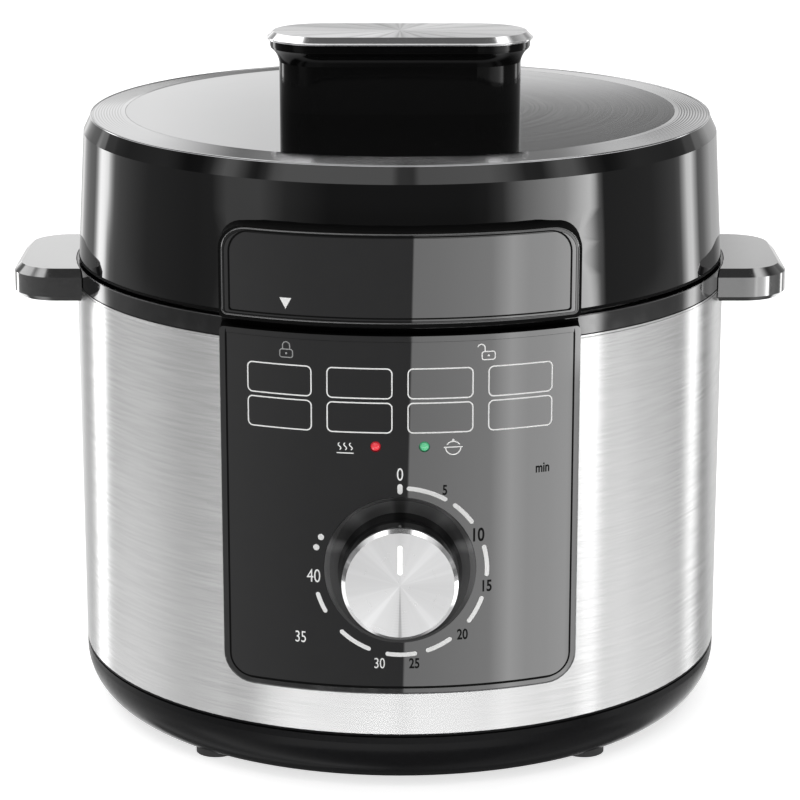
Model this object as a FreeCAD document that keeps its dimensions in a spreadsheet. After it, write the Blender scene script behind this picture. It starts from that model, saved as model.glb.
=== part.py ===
import FreeCAD, Part
import math
import os

import Sketcher

# Electric pressure cooker with a turning bayonet lid and a mechanical timer dial.
# Frame: +Z up, the front with the dial looks along -Y, the origin is on the ground under the middle.
# Every length is in millimetres and every angle in degrees.

DOC = FreeCAD.newDocument("PressureCooker")
SHEET = DOC.addObject("Spreadsheet::Sheet", "Sizes")
NODES = []

SIZES = [
    # general fits
    ("slip", 0.3, "gap between two pieces that rest on or inside each other"),
    ("bond", 0.15, "gap round a plate that is glued or clipped into its recess"),
    ("running", 0.08, "radial clearance of a shaft or pin that moves in its hole"),
    # base
    ("foot_drop", 4.0, "height that the feet lift the base"),
    ("foot_radius", 8.5, "radius of a rubber foot"),
    ("foot_side", 76.0, "sideways distance of a foot from the middle"),
    ("foot_ahead", 91.0, "distance of a foot in front of or behind the middle"),
    ("foot_peg", 2.6, "radius of the peg that holds a foot in the base"),
    ("base_height", 21.3, "height of the visible base moulding"),
    ("base_draw", 8.7, "distance that the base draws in towards its lower edge"),
    ("base_round", 21.0, "radius of the rounded flank of the base"),
    ("base_band", 4.3, "height of the upright band above the flank"),
    ("base_groove", 0.8, "depth and height of the groove in that band"),
    ("base_wall", 2.5, "wall of the base moulding"),
    ("spigot_height", 8.0, "height of the base's spigot inside the steel shell"),
    ("vent_count", 7.0, "cooling slots in the base floor"),
    ("vent_width", 4.0, "width of a cooling slot"),
    ("vent_length", 60.0, "length of a cooling slot"),
    ("vent_pitch", 9.0, "distance between cooling slots"),
    # outer shell
    ("shell_radius", 137.5, "outer radius of the steel shell"),
    ("shell_wall", 0.8, "thickness of the steel shell"),
    ("shell_height", 158.7, "height of the steel shell"),
    ("ring_height", 7.9, "visible height of the ring above the shell"),
    ("ring_plate", 3.0, "thickness of the ring's top plate"),
    ("ring_clear", 4.0, "gap between the outer pot and the ring's opening"),
    ("ring_skirt", 12.0, "depth of the ring's skirt inside the shell"),
    ("ring_skirt_wall", 2.4, "wall of that skirt"),
    # side grips
    ("grip_stand", 25.0, "distance that a side grip stands out from the shell"),
    ("grip_half", 38.0, "half the length of a side grip along the body"),
    ("grip_thickness", 13.5, "height of a side grip"),
    ("grip_corner", 19.0, "rounding of a side grip's outer corners, seen from above"),
    ("grip_top_chamfer", 3.2, "chamfer round the top of a side grip"),
    ("grip_low_chamfer", 2.0, "chamfer round the underside of a side grip"),
    ("grip_wall", 4.0, "wall round the finger pocket under a side grip"),
    ("grip_pocket", 7.5, "depth of the finger pocket"),
    ("grip_screw_side", 20.0, "distance of a grip screw from the grip's middle"),
    # front panel
    ("panel_stand", 6.5, "distance that the panel stands in front of the shell"),
    ("panel_half", 70.0, "half the width of the front panel"),
    ("panel_foot", 44.9, "height of the panel's lower edge"),
    ("panel_head_gap", 2.1, "distance from the panel's upper edge to the ring's top"),
    ("panel_corner", 11.5, "rounding of the panel's lower corners"),
    ("panel_top_corner", 2.0, "rounding of the panel's upper corners"),
    ("panel_border", 2.2, "width of the frame round the panel plate"),
    ("panel_plate", 1.2, "thickness of the panel plate"),
    ("panel_sink", 0.2, "depth of the plate's face below the frame"),
    ("panel_wall", 2.5, "wall of the panel's frame moulding"),
    ("dial_rise", 51.1, "height of the dial's axis above the panel's lower edge"),
    ("dish_radius", 29.6, "radius of the round recess behind the dial"),
    ("dish_depth", 8.0, "depth of that recess at its middle"),
    ("dish_floor_radius", 14.0, "radius of the recess's flat floor"),
    ("dish_curve", 17.0, "radius of the recess's curved flank"),
    ("dish_lip", 1.1, "width of the lip round the recess"),
    ("dish_back", 1.8, "thickness of the recess's floor"),
    ("dish_proud", 0.3, "height of the recess's lip in front of the panel"),
    ("dish_flange", 33.0, "radius of the flange behind the panel"),
    ("lamp_side", 9.4, "distance of a lamp from the middle line"),
    ("lamp_rise", 50.0, "height of the lamps above the dial's axis"),
    ("lamp_radius", 2.0, "radius of a lamp's lens"),
    ("lamp_proud", 0.6, "height of a lamp's lens in front of the plate"),
    # dial
    ("knob_stand", 18.2, "distance of the dial's face in front of the panel"),
    ("knob_radius", 22.5, "radius of the dial's metal face"),
    ("knob_bevel", 1.5, "bevel round the dial's metal face"),
    ("knob_cap_depth", 3.0, "thickness of the dial's metal face"),
    ("knob_collar", 24.2, "radius of the dial's black skirt at its back"),
    ("knob_collar_depth", 13.5, "depth of the black skirt"),
    ("knob_hub", 7.0, "radius of the dial's hub"),
    ("knob_wall", 2.2, "wall of the dial's skirt"),
    ("shaft_radius", 3.0, "radius of the timer's shaft"),
    # lid
    ("lid_gap", 1.4, "gap between the ring and the lid"),
    ("lid_inset", 1.0, "distance of the lid's lower edge inside the shell's outline"),
    ("lid_wall_height", 53.1, "height of the lid's side wall"),
    ("lid_draft", 3.2, "distance that the lid's wall leans in"),
    ("lid_bevel_height", 6.7, "height of the bevel"),
    ("lid_bevel_width", 3.2, "width of the bevel"),
    ("lid_ring_rise", 0.9, "rise of the grooved ring towards the disc"),
    ("lid_wall", 2.5, "wall of the lid moulding"),
    ("lid_roof", 3.0, "thickness of the lid moulding under the disc"),
    ("lid_ring_width", 14.6, "width of the grooved ring on top of the lid"),
    ("disc_thickness", 1.0, "thickness of the polished disc"),
    ("tab_height", 36.8, "height of the lid's front tab"),
    ("tab_corner", 10.0, "rounding of the tab's upper corners"),
    ("tab_border", 2.2, "width of the frame round the tab's plate"),
    # lid handle
    ("neck_half_x", 50.8, "half the length of the lid handle's neck"),
    ("neck_half_y", 19.4, "half the width of the lid handle's neck"),
    ("neck_corner", 18.8, "rounding of the neck's corners, seen from above"),
    ("neck_height", 19.8, "height of the upright part of the neck"),
    ("flare_height", 6.8, "height of the flare under the cap"),
    ("flare_reach", 3.6, "distance that the flare spreads"),
    ("rim_height", 2.6, "height of the rim under the cap"),
    ("rim_inset", 0.9, "distance that the rim is set in from the cap's edge"),
    ("cap_half_x", 55.6, "half the length of the handle's cap"),
    ("cap_half_y", 24.0, "half the width of the handle's cap"),
    ("cap_corner", 23.4, "rounding of the cap's corners, seen from above"),
    ("cap_thickness", 3.3, "thickness of the cap"),
    ("cap_bevel", 2.3, "bevel round the cap"),
    ("handle_wall", 2.6, "wall of the handle moulding"),
    ("handle_screw_side", 36.0, "distance of a handle screw from the middle"),
    ("handle_boss", 6.0, "radius of a screw boss in the handle"),
    ("flare_lip", 0.8, "thickness of the flare's outer edge"),
    ("flare_round", -9.5, "radius of the flare's hollow curve, below 0 for a hollow one"),
    # pressure vessel
    ("bore_radius", 112.5, "inner radius of the outer pot"),
    ("bore_wall", 1.5, "wall of the outer pot"),
    ("bore_floor", 38.5, "height of the outer pot's underside"),
    ("bore_hole", 30.0, "radius of the opening in the outer pot's floor"),
    ("bore_corner", 12.0, "rounding of the outer pot's lower edge"),
    ("flange_width", 15.0, "width of the flange that sits on the ring"),
    ("collar_clear", 0.8, "gap between the lid's lugs and the collar round them"),
    ("lug_gap", 0.6, "height between the lid's lugs and the outer lugs"),
    ("ledge_rise", 4.6, "height of the pot's ledge above the flange"),
    ("lug_count", 6.0, "bayonet lugs on the outer pot, and as many on the lid"),
    ("lug_angle", 28.0, "angle that one outer lug covers"),
    ("lug_clear", 0.8, "gap between the inner lid and the outer lugs"),
    ("lug_height", 3.5, "height of an outer lug"),
    ("pot_clear", 2.5, "gap between the cooking pot and the outer pot"),
    ("pot_wall", 1.6, "wall of the cooking pot"),
    ("pot_floor", 2.2, "thickness of the cooking pot's floor"),
    ("pot_corner", 14.0, "rounding of the cooking pot's lower edge"),
    ("pot_lip_width", 6.0, "width of the cooking pot's lip"),
    ("pot_lip", 1.8, "thickness of that lip"),
    # inner lid
    ("pan_reach", 0.2, "distance of the inner lid's edge inside the cooking pot's lip"),
    ("pan_wall", 2.0, "wall of the inner lid"),
    ("pan_gap", 2.0, "gap between the cooking pot's lip and the inner lid's edge"),
    ("pan_depth", 12.0, "height of the inner lid's skirt"),
    ("dome_radius", 80.0, "radius of the raised middle of the inner lid"),
    ("dome_rise", 8.0, "height of that raised middle"),
    ("dome_slope", 14.0, "width of the slope round it"),
    ("pan_lug_angle", 25.0, "angle that one of the lid's lugs covers"),
    ("pan_lug_reach", 4.4, "distance that the lid's lugs stand out"),
    ("pan_lug_height", 3.0, "height of the lid's lugs"),
    ("seal_width", 8.5, "width of the sealing ring"),
    ("seal_lip", 2.0, "thickness of the sealing ring's lips"),
    ("post_circle", 66.0, "distance of the lid's posts from the middle"),
    ("post_radius", 6.0, "radius of a post between the lid and the inner lid"),
    ("post_depth", 14.0, "depth of a screw's pilot hole in the lid"),
    # valve and float
    ("valve_back", 60.0, "distance of the pressure valve behind the middle"),
    ("valve_radius", 12.5, "radius of the pressure valve's cap"),
    ("valve_height", 21.0, "height of the pressure valve's cap"),
    ("valve_round", 3.0, "rounding of its upper edge"),
    ("valve_clear", 2.0, "gap round the pressure valve where it comes out of the lid"),
    ("vent_radius", 5.0, "outer radius of the steam pipe"),
    ("vent_bore", 1.7, "radius of the steam pipe's bore"),
    ("float_side", 34.0, "sideways distance of the float from the middle"),
    ("float_back", 54.0, "distance of the float behind the middle"),
    ("float_radius", 2.5, "radius of the float's pin"),
    ("float_travel", 5.0, "height that the float rises"),
    ("float_sink", 0.5, "depth of the float's tip below the lid moulding's top at rest"),
    ("float_head", 2.0, "thickness of the float's head and of its gasket"),
    ("float_bush", 5.0, "radius of the bush that guides the float"),
    ("bush_drop", 1.5, "distance that the bush reaches below the inner lid"),
    ("bush_rise", 3.0, "height of the bush above the inner lid"),
    ("vent_rise", 8.0, "height of the steam pipe above the disc"),
    ("valve_rise", 2.5, "gap between the disc and the pressure valve's cap"),
    ("vent_flange", 3.0, "width and thickness of the steam pipe's flange"),
    ("nut_height", 5.0, "height of the steam pipe's nut"),
    ("nut_radius", 8.5, "distance of the nut's corners from its middle"),
    ("guard_radius", 13.0, "radius of the guard round the steam pipe's inlet"),
    ("guard_depth", 10.0, "height of that guard"),
    ("guard_wall", 1.0, "wall of that guard"),
    # heating
    ("heater_clear", 17.5, "gap between the heating plate and the outer pot's wall"),
    ("heater_thickness", 7.0, "thickness of the heating plate"),
    ("heater_top", 58.0, "height of the heating plate's upper face"),
    ("element_circle", 68.0, "radius of the heating element's ring"),
    ("element_radius", 4.0, "radius of the heating element's tube"),
    ("element_turn", 336.0, "angle that the heating element goes round"),
    ("heater_leg_circle", 44.0, "distance of the heating plate's legs from the middle"),
    ("heater_leg_radius", 5.0, "radius of a leg"),
    ("spring_plate", 1.5, "thickness of the elastic plate"),
    ("terminal_radius", 3.0, "radius of the heating element's terminals"),
    ("terminal_drop", 8.0, "distance that the terminals reach below the outer pot"),
    ("spring_hole", 24.0, "radius of the hole in the elastic plate"),
    ("switch_side", 62.0, "sideways distance of the pressure switch from the middle"),
    ("switch_half_x", 17.0, "half the length of the pressure switch"),
    ("switch_half_y", 8.0, "half the width of the pressure switch"),
    ("switch_tall", 14.0, "height of the pressure switch"),
    ("plunger_radius", 2.0, "radius of the pressure switch's plunger"),
    ("cutout_half", 10.0, "half the width of the thermal cut-out"),
    ("cutout_deep", 7.0, "thickness of the thermal cut-out"),
    ("cutout_height", 96.0, "height of the thermal cut-out's lower edge"),
    ("guide_drop", 14.0, "depth of the sensor's guide below the outer pot"),
    ("spring_coil", 9.0, "radius of the sensor's spring"),
    ("spring_wire", 1.0, "thickness of the spring's wire"),
    ("spring_turns", 6.0, "turns of the spring"),
    ("sensor_radius", 15.0, "radius of the temperature sensor's cap"),
    ("sensor_travel", 3.0, "travel of the temperature sensor"),
    ("sensor_wall", 1.2, "wall of the sensor's cap"),
    # fasteners
    ("screw_radius", 1.8, "radius of a body screw's shank"),
    ("screw_head", 3.6, "radius of a body screw's head"),
    ("screw_cap", 2.2, "height of a body screw's head"),
    ("boss_radius", 4.6, "radius of a moulded screw boss"),
    ("screw_fit", 0.1, "radial clearance of a screw in its hole"),
    ("flange_screw_inset", 4.5, "distance of the flange's screws outside the collar"),
    ("flange_screw_count", 6.0, "screws that hold the outer pot's flange on the ring"),
    ("panel_screw_margin", 13.0, "distance of a panel screw from the panel's side edge"),
    ("panel_screw_inset", 24.0, "distance of a panel screw from the panel's upper or lower edge"),
    ("bracket_angle", 25.0, "angle of a base bracket from the sideways axis"),
    ("bracket_inset", 16.2, "distance of the base brackets' screws inside the shell"),
    ("bracket_wall", 1.5, "thickness of a base bracket"),
    ("bracket_half", 9.0, "half the width of a base bracket"),
    ("bracket_foot", 24.5, "height of the base bosses' upper ends"),
    ("bracket_head", 88.0, "height of the base brackets' upper ends"),
    ("base_boss", 6.0, "radius of a base boss"),
    ("base_counterbore", 8.0, "depth of the hole that takes a base screw's head"),
    # timer and lamps
    ("timer_half_x", 25.0, "half the width of the timer"),
    ("timer_half_z", 24.0, "half the height of the timer"),
    ("timer_depth", 16.0, "depth of the timer"),
    ("timer_neck", 5.0, "radius of the timer's neck round its shaft"),
    ("timer_screw_rise", 38.0, "distance of a timer screw above or below the dial's axis"),
    ("strap_half", 23.0, "half the width of the timer's bracket"),
    ("strap_wall", 1.2, "thickness of the timer's bracket"),
    ("board_half", 16.0, "half the width of the lamp board"),
    ("board_rise", 6.5, "half the height of the lamp board"),
    ("board_wall", 1.2, "thickness of the lamp board"),
    # rear
    ("inlet_height", 52.0, "height of the power inlet's axis"),
    ("inlet_half_x", 14.0, "half the width of the power inlet's body"),
    ("inlet_half_z", 10.5, "half the height of the power inlet's body"),
    ("inlet_flange_x", 11.0, "width of the inlet's flange at each side of its body"),
    ("inlet_flange_z", 4.5, "width of the inlet's flange above and below its body"),
    ("inlet_screw_side", 20.0, "distance of an inlet screw from the middle"),
    ("pin_sink", 5.0, "distance of the inlet's pins behind its face"),
    ("inlet_stand", 4.0, "distance that the power inlet's face stands behind the shell"),
    ("inlet_depth", 17.0, "depth of the power inlet's socket"),
    ("inlet_wall", 2.0, "wall of the power inlet"),
    ("pin_side", 6.0, "sideways distance of the two upper pins"),
    ("pin_rise", 2.2, "distance of the pins above or below the inlet's axis"),
    ("pin_half_x", 1.0, "half the width of a pin"),
    ("pin_half_z", 1.9, "half the height of a pin"),
    ("pin_tail", 4.5, "length of the pins behind the inlet's body"),
    ("cup_screw_side", 24.0, "sideways distance of the bracket's screws"),
    ("cup_corner", 6.0, "rounding of the condensate cup's outer corners"),
    ("cup_show", 5.0, "distance that the cup stands out of its bracket"),
    ("shelf_width", 6.0, "width of the shelves under the cup"),
    ("spout_space", 14.0, "height of the bracket above the cup"),
    ("spout_radius", 4.0, "radius of the drain spout above the cup"),
    ("clamp_side", 32.0, "sideways distance of the terminal block from the middle"),
    ("clamp_wide", 24.0, "width of the terminal block"),
    ("clamp_back", 56.0, "distance of the terminal block behind the middle"),
    ("clamp_deep", 18.0, "depth of the terminal block"),
    ("clamp_tall", 12.0, "height of the terminal block"),
    ("wire_radius", 1.5, "radius of an insulated wire"),
    ("wire_step", 24.0, "straight length a wire keeps before it bends"),
    ("wire_rise", 3.0, "height between two wires that enter the terminal block"),
    ("cup_drop", 80.0, "distance of the condensate cup's underside below the shell's upper edge"),
    ("cup_tall", 46.0, "height of the condensate cup"),
    ("cup_half", 30.0, "half the width of the condensate cup"),
    ("cup_stand", 24.7, "distance that the condensate cup stands behind the shell"),
    ("cup_gap", 5.0, "gap between the shell and the condensate cup"),
    ("cup_wall", 1.8, "wall of the condensate cup"),
    ("rail", 2.2, "thickness of the rails that hold the cup"),
]


class Size:
    """A size of the sheet, or a sum made from such sizes, kept as the text of an expression."""

    def __init__(self, text):
        self.text = text

    def __str__(self):
        return self.text

    def __add__(self, other):
        return Size(f"({self} + {written(other)})")

    def __radd__(self, other):
        return Size(f"({written(other)} + {self})")

    def __sub__(self, other):
        return Size(f"({self} - {written(other)})")

    def __rsub__(self, other):
        return Size(f"({written(other)} - {self})")

    def __mul__(self, other):
        return Size(f"({self} * {written(other)})")

    def __rmul__(self, other):
        return Size(f"({written(other)} * {self})")

    def __truediv__(self, other):
        return Size(f"({self} / {written(other)})")

    def __rtruediv__(self, other):
        return Size(f"({written(other)} / {self})")

    def __neg__(self):
        return Size(f"(0 - {self})")


def written(value):
    """The text of a size or of a plain number, safe inside a sum."""
    if isinstance(value, Size):
        return value.text
    return f"({float(value):.9g})"


def number(value):
    """The present value of a size, or a plain number as it is."""
    if isinstance(value, Size):
        return float(SHEET.evalExpression(value.text))
    return float(value)


def cosine(angle):
    return Size(f"cos({written(angle)} * 1 deg)")


def sine(angle):
    return Size(f"sin({written(angle)} * 1 deg)")


def arc_sine(value):
    return Size(f"(asin({written(value)}) / 1 deg)")


def root(value):
    return Size(f"sqrt({written(value)})")


def beside(radius, offset):
    """The distance along one axis at which a circle of this radius stands this far off that axis."""
    return root(radius * radius - offset * offset)


def fill_sheet():
    """Writes the driving dimensions and returns them by name."""
    for row, (alias, value, meaning) in enumerate(SIZES, start=1):
        SHEET.set(f"A{row}", meaning)
        SHEET.set(f"B{row}", str(value))
        SHEET.setAlias(f"B{row}", alias)
    DOC.recompute()
    return {alias: Size(f"Sizes.{alias}") for alias, _, _ in SIZES}


s = type("Sizes", (), fill_sheet())

# Heights and distances that follow from the sizes above.
base_top = s.foot_drop + s.base_height
base_floor = s.foot_drop + s.base_wall
shell_inside = s.shell_radius - s.shell_wall
shell_top = base_top + s.shell_height
shell_clear = s.shell_radius + s.slip
ring_top = shell_top + s.ring_height
skirt_outside = shell_inside - s.bond
skirt_inside = skirt_outside - s.ring_skirt_wall
lid_foot = ring_top + s.lid_gap
lid_shoulder = lid_foot + s.lid_wall_height
lid_ring = lid_shoulder + s.lid_bevel_height
lid_top = lid_ring + s.lid_ring_rise
deck = lid_top - s.disc_thickness
ceiling = deck - s.lid_roof
tab_top = lid_foot + s.tab_height
neck_top = lid_top + s.neck_height
flare_top = neck_top + s.flare_height
rim_top = flare_top + s.rim_height
cap_top = rim_top + s.cap_thickness
panel_top = ring_top - s.panel_head_gap
panel_radius = s.shell_radius + s.panel_stand
plate_face = panel_radius - s.panel_sink
plate_back = plate_face - s.panel_plate
frame_back = plate_back - s.panel_wall
bore_outside = s.bore_radius + s.bore_wall
flange_top = ring_top + s.bore_wall
ledge_top = flange_top + s.ledge_rise
pot_foot = s.heater_top + s.slip
lip_foot = ledge_top + s.slip
lip_top = lip_foot + s.pot_lip
pan_foot = lip_top + s.pan_gap
pan_top = pan_foot + s.pan_depth
dome_top = pan_top + s.dome_rise
dome_foot = dome_top - s.pan_wall
lug_foot = pan_foot + s.pan_lug_height + s.lug_gap
lug_top = lug_foot + s.lug_height
dish_floor = panel_radius - s.dish_depth
strap_front = dish_floor - s.dish_back - s.slip
timer_front = strap_front - s.strap_wall
timer_back = timer_front - s.timer_depth
bore_inside_floor = s.bore_floor + s.bore_wall
spring_foot = bore_inside_floor + s.slip
spring_top = spring_foot + s.spring_plate
heater_foot = s.heater_top - s.heater_thickness
terminal_half_gap = (360 - s.element_turn) / 2
base_bottom_radius = s.shell_radius - s.base_draw
ring_inner_radius = bore_outside + s.ring_clear
grip_reach = s.shell_radius + s.grip_stand
dial_height = s.panel_foot + s.dial_rise
lamp_height = dial_height + s.lamp_rise
heater_radius = s.bore_radius - s.heater_clear
knob_face = panel_radius + s.knob_stand
lid_foot_radius = s.shell_radius - s.lid_inset
lid_shoulder_radius = lid_foot_radius - s.lid_draft
lid_ring_radius = lid_shoulder_radius - s.lid_bevel_width
disc_radius = lid_ring_radius - s.lid_ring_width
flange_reach = bore_outside + s.flange_width
pot_radius = s.bore_radius - s.pot_clear
pot_lip_radius = pot_radius + s.pot_lip_width
pan_radius = pot_lip_radius - s.pan_reach
lug_reach = pan_radius + s.pan_lug_reach
collar_radius = lug_reach + s.collar_clear
lug_radius = pan_radius + s.lug_clear
flange_screw_circle = collar_radius + s.flange_screw_inset
bracket_circle = shell_inside - s.bracket_inset
panel_screw_angle = arc_sine((s.panel_half - s.panel_screw_margin) / frame_back)
inlet_reach = s.shell_radius + s.inlet_stand
cup_height = shell_top - s.cup_drop
cup_back = s.shell_radius + s.cup_stand
cup_front = s.shell_radius + s.cup_gap

FRONT = 270.0                     # direction of the cooker's front, as an angle from +X
HEATER_LEGS = (30, 150, FRONT)    # directions of the heating plate's legs
LID_POSTS = (30, 150, 210, 330)   # directions of the posts between the lid and the inner lid
BEYOND = 60.0                     # how far a cutting tool runs past what it cuts
OVERLAP = 0.5                     # how deep a piece runs into the one that it is fused to


# ---------------------------------------------------------------- drawing helpers

def plane_of(body, role):
    return next(item for item in body.Origin.OriginFeatures if item.Role == role)


def tie(item, **values):
    """Ties properties of an object to sizes or plain numbers."""
    for name, value in values.items():
        item.setExpression(name.replace("__", "."), written(value))


def seat(item, x=0, y=0, z=0, rotation=None):
    """Turns an object, then ties its place to sizes."""
    item.Placement = FreeCAD.Placement(FreeCAD.Vector(), rotation or FreeCAD.Rotation())
    tie(item, Placement__Base__x=x, Placement__Base__y=y, Placement__Base__z=z)
    return item


def new_sketch(body, plane, start=0):
    """A sketch on one of the body's own planes, moved along the plane's normal by start."""
    sketch = body.newObject("Sketcher::SketchObject", body.Name + "_sketch")
    sketch.AttachmentSupport = [(plane_of(body, plane), "")]
    sketch.MapMode = "FlatFace"
    tie(sketch, AttachmentOffset__Base__z=start)
    return sketch


def pin_point(sketch, piece, end, x, y):
    """Ties one point of a sketch to the sketch's axes."""
    for kind, axis, value in (("DistanceX", -2, x), ("DistanceY", -1, y)):
        if not isinstance(value, Size) and value == 0:
            sketch.addConstraint(Sketcher.Constraint("PointOnObject", piece, end, axis))
            continue
        rule = Sketcher.Constraint(kind, -1, 1, piece, end, number(value))
        index = sketch.addConstraint(rule)
        if isinstance(value, Size):
            sketch.setExpression(f"Constraints[{index}]", value.text)


def pin_radius(sketch, piece, value):
    index = sketch.addConstraint(Sketcher.Constraint("Radius", piece, number(value)))
    if isinstance(value, Size):
        sketch.setExpression(f"Constraints[{index}]", value.text)


def arc_between(start, end, radius):
    """The short arc between two points. Its middle lies left of the way walked when radius is above 0."""
    chord = end - start
    middle = (start + end) / 2
    left = FreeCAD.Vector(-chord.y, chord.x, 0).normalize()
    reach = (radius * radius - chord.Length ** 2 / 4) ** 0.5
    centre = middle + left * (reach if radius > 0 else -reach)
    circle = Part.Circle(centre, FreeCAD.Vector(0, 0, 1), abs(radius))
    first, last = (start, end) if radius > 0 else (end, start)
    return Part.ArcOfCircle(circle, circle.parameter(first), circle.parameter(last))


def draw_outline(sketch, corners):
    """A closed outline. A corner is (x, y), or (x, y, radius) where an arc arrives at it."""
    points = [FreeCAD.Vector(number(c[0]), number(c[1]), 0) for c in corners]
    pieces = []
    for index, corner in enumerate(corners):
        start, end = points[index - 1], points[index]
        radius = number(corner[2]) if len(corner) == 3 else 0
        line = arc_between(start, end, radius) if radius else Part.LineSegment(start, end)
        # the numbers of the piece's first and last point in the sketch
        pieces.append((sketch.addGeometry(line), *((2, 1) if radius < 0 else (1, 2))))
    for index, (piece, _, last) in enumerate(pieces):
        following, first, _ = pieces[(index + 1) % len(pieces)]
        sketch.addConstraint(Sketcher.Constraint("Coincident", piece, last, following, first))
    for (piece, _, last), corner in zip(pieces, corners):
        pin_point(sketch, piece, last, corner[0], corner[1])
        if len(corner) == 3:
            radius = corner[2]
            pin_radius(sketch, piece, radius if number(radius) > 0 else -radius)
    return sketch


def draw_circles(sketch, places, radius):
    for x, y in places:
        centre = FreeCAD.Vector(number(x), number(y), 0)
        piece = sketch.addGeometry(Part.Circle(centre, FreeCAD.Vector(0, 0, 1), number(radius)))
        pin_point(sketch, piece, 3, x, y)
        pin_radius(sketch, piece, radius)
    return sketch


def box_outline(left, right, low, high, low_round, high_round=None):
    """A rectangle's corners, with its lower and its upper corners rounded."""
    top = low_round if high_round is None else high_round
    return [
        (left + low_round, low, low_round),
        (right - low_round, low),
        (right, low + low_round, low_round),
        (right, high - top),
        (right - top, high, top),
        (left + top, high),
        (left, high - top, top),
        (left, low + low_round),
    ]


def at_angle(radius, angle):
    return radius * cosine(angle), radius * sine(angle)


def sector_outline(inner, outer, half_angle, middle=0):
    """A piece of a ring, between two radii and half an angle to each side of the middle."""
    return [
        (*at_angle(inner, middle - half_angle), -inner),
        at_angle(outer, middle - half_angle),
        (*at_angle(outer, middle + half_angle), outer),
        at_angle(inner, middle + half_angle),
    ]


# ---------------------------------------------------------------- building helpers

def new_body(label):
    return DOC.addObject("PartDesign::Body", label)


def lathe(label, corners, axis="Z", height=0):
    """A body turned about +Z from (radius, height) corners, or about the dial's axis from (radius, y)."""
    body = new_body(label)
    sketch = draw_outline(new_sketch(body, "XZ_Plane" if axis == "Z" else "XY_Plane"), corners)
    turn = body.newObject("PartDesign::Revolution", body.Name + "_turn")
    turn.Profile = sketch
    turn.ReferenceAxis = (sketch, ["V_Axis"])
    turn.Angle = 360
    tie(body, Placement__Base__z=height)
    return body


def add_pad(body, sketch, length):
    pad = body.newObject("PartDesign::Pad", body.Name + "_pad")
    pad.Profile = sketch
    tie(pad, Length=length)
    return pad


def add_pocket(body, sketch, length):
    """Cuts from the sketch's plane against its normal: downwards, or towards the back."""
    pocket = body.newObject("PartDesign::Pocket", body.Name + "_pocket")
    pocket.Profile = sketch
    tie(pocket, Length=length)
    return pocket


def repeat_round(body, feature, count):
    """Repeats a feature evenly round the body's upright axis."""
    pattern = body.newObject("PartDesign::PolarPattern", body.Name + "_pattern")
    pattern.Originals = [feature]
    pattern.Axis = (plane_of(body, "Z_Axis"), [""])
    pattern.Angle = 360
    tie(pattern, Occurrences=count)
    body.Tip = pattern
    return pattern


def prism(label, plane, corners, start, length):
    """A body padded from an outline. XY_Plane pads upwards and XZ_Plane towards the front."""
    body = new_body(label)
    add_pad(body, draw_outline(new_sketch(body, plane, start), corners), length)
    return body


def block(label, x, y, z):
    """A box between pairs of low and high places."""
    box = DOC.addObject("Part::Box", label)
    tie(box, Length=x[1] - x[0], Width=y[1] - y[0], Height=z[1] - z[0])
    return seat(box, x[0], y[0], z[0])


def drum(label, radius, low, high, x=0, y=0):
    """An upright cylinder."""
    item = DOC.addObject("Part::Cylinder", label)
    tie(item, Radius=radius, Height=high - low)
    return seat(item, x, y, low)


def rod(label, radius, back, front, x=0, z=0):
    """A cylinder along Y, from one distance in front of the middle to a larger one."""
    item = DOC.addObject("Part::Cylinder", label)
    tie(item, Radius=radius, Height=front - back)
    forwards = FreeCAD.Rotation(FreeCAD.Vector(0, 0, 1), FreeCAD.Vector(0, -1, 0))
    return seat(item, x, -back, z, forwards)


def spoke(label, radius, near, far, angle, z):
    """A cylinder that points away from the upright axis, at an angle from +X."""
    item = DOC.addObject("Part::Cylinder", label)
    tie(item, Radius=radius, Height=far - near)
    turn = FreeCAD.Rotation(FreeCAD.Vector(0, 0, 1), number(angle))
    outwards = FreeCAD.Rotation(FreeCAD.Vector(0, 0, 1), FreeCAD.Vector(1, 0, 0))
    return seat(item, *at_angle(near, angle), z, turn * outwards)


def turned_block(label, angle, near, far, half, low, high):
    """A box at an angle round the upright axis, between two distances from it."""
    box = DOC.addObject("Part::Box", label)
    tie(box, Length=far - near, Width=half * 2, Height=high - low)
    x, y = at_angle(near, angle)
    turn = FreeCAD.Rotation(FreeCAD.Vector(0, 0, 1), number(angle))
    return seat(box, x + half * sine(angle), y - half * cosine(angle), low, turn)


def tube(label, inner, outer, low, high):
    return lathe(label, [(inner, low), (outer, low), (outer, high), (inner, high)])


def combine(kind, label, items):
    result = DOC.addObject(kind, label)
    result.Shapes = list(items)
    return result


def fuse(label, *items):
    return combine("Part::MultiFuse", label, items)


def common(label, *items):
    return combine("Part::MultiCommon", label, items)


def cut(label, base, *tools):
    result = DOC.addObject("Part::Cut", label)
    result.Base = base
    result.Tool = tools[0] if len(tools) == 1 else fuse(label + "_tools", *tools)
    return result


def group(label, *items):
    """Separate solids of one kind, such as a set of screws."""
    result = DOC.addObject("Part::Compound", label)
    result.Links = list(items)
    return result


def node(label, item):
    """Gives a finished sub-part its name and puts it on the list that is written out."""
    item.Label = label
    NODES.append(item)
    return item


def curved_plate(label, inner, outer, corners, low, high):
    """What an outline, seen from the front, cuts out of a tube round the upright axis."""
    wall = tube(label + "_wall", inner, outer, low, high)
    front = prism(label + "_front", "XZ_Plane", corners, 0, outer + OVERLAP)
    return common(label, wall, front)


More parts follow.
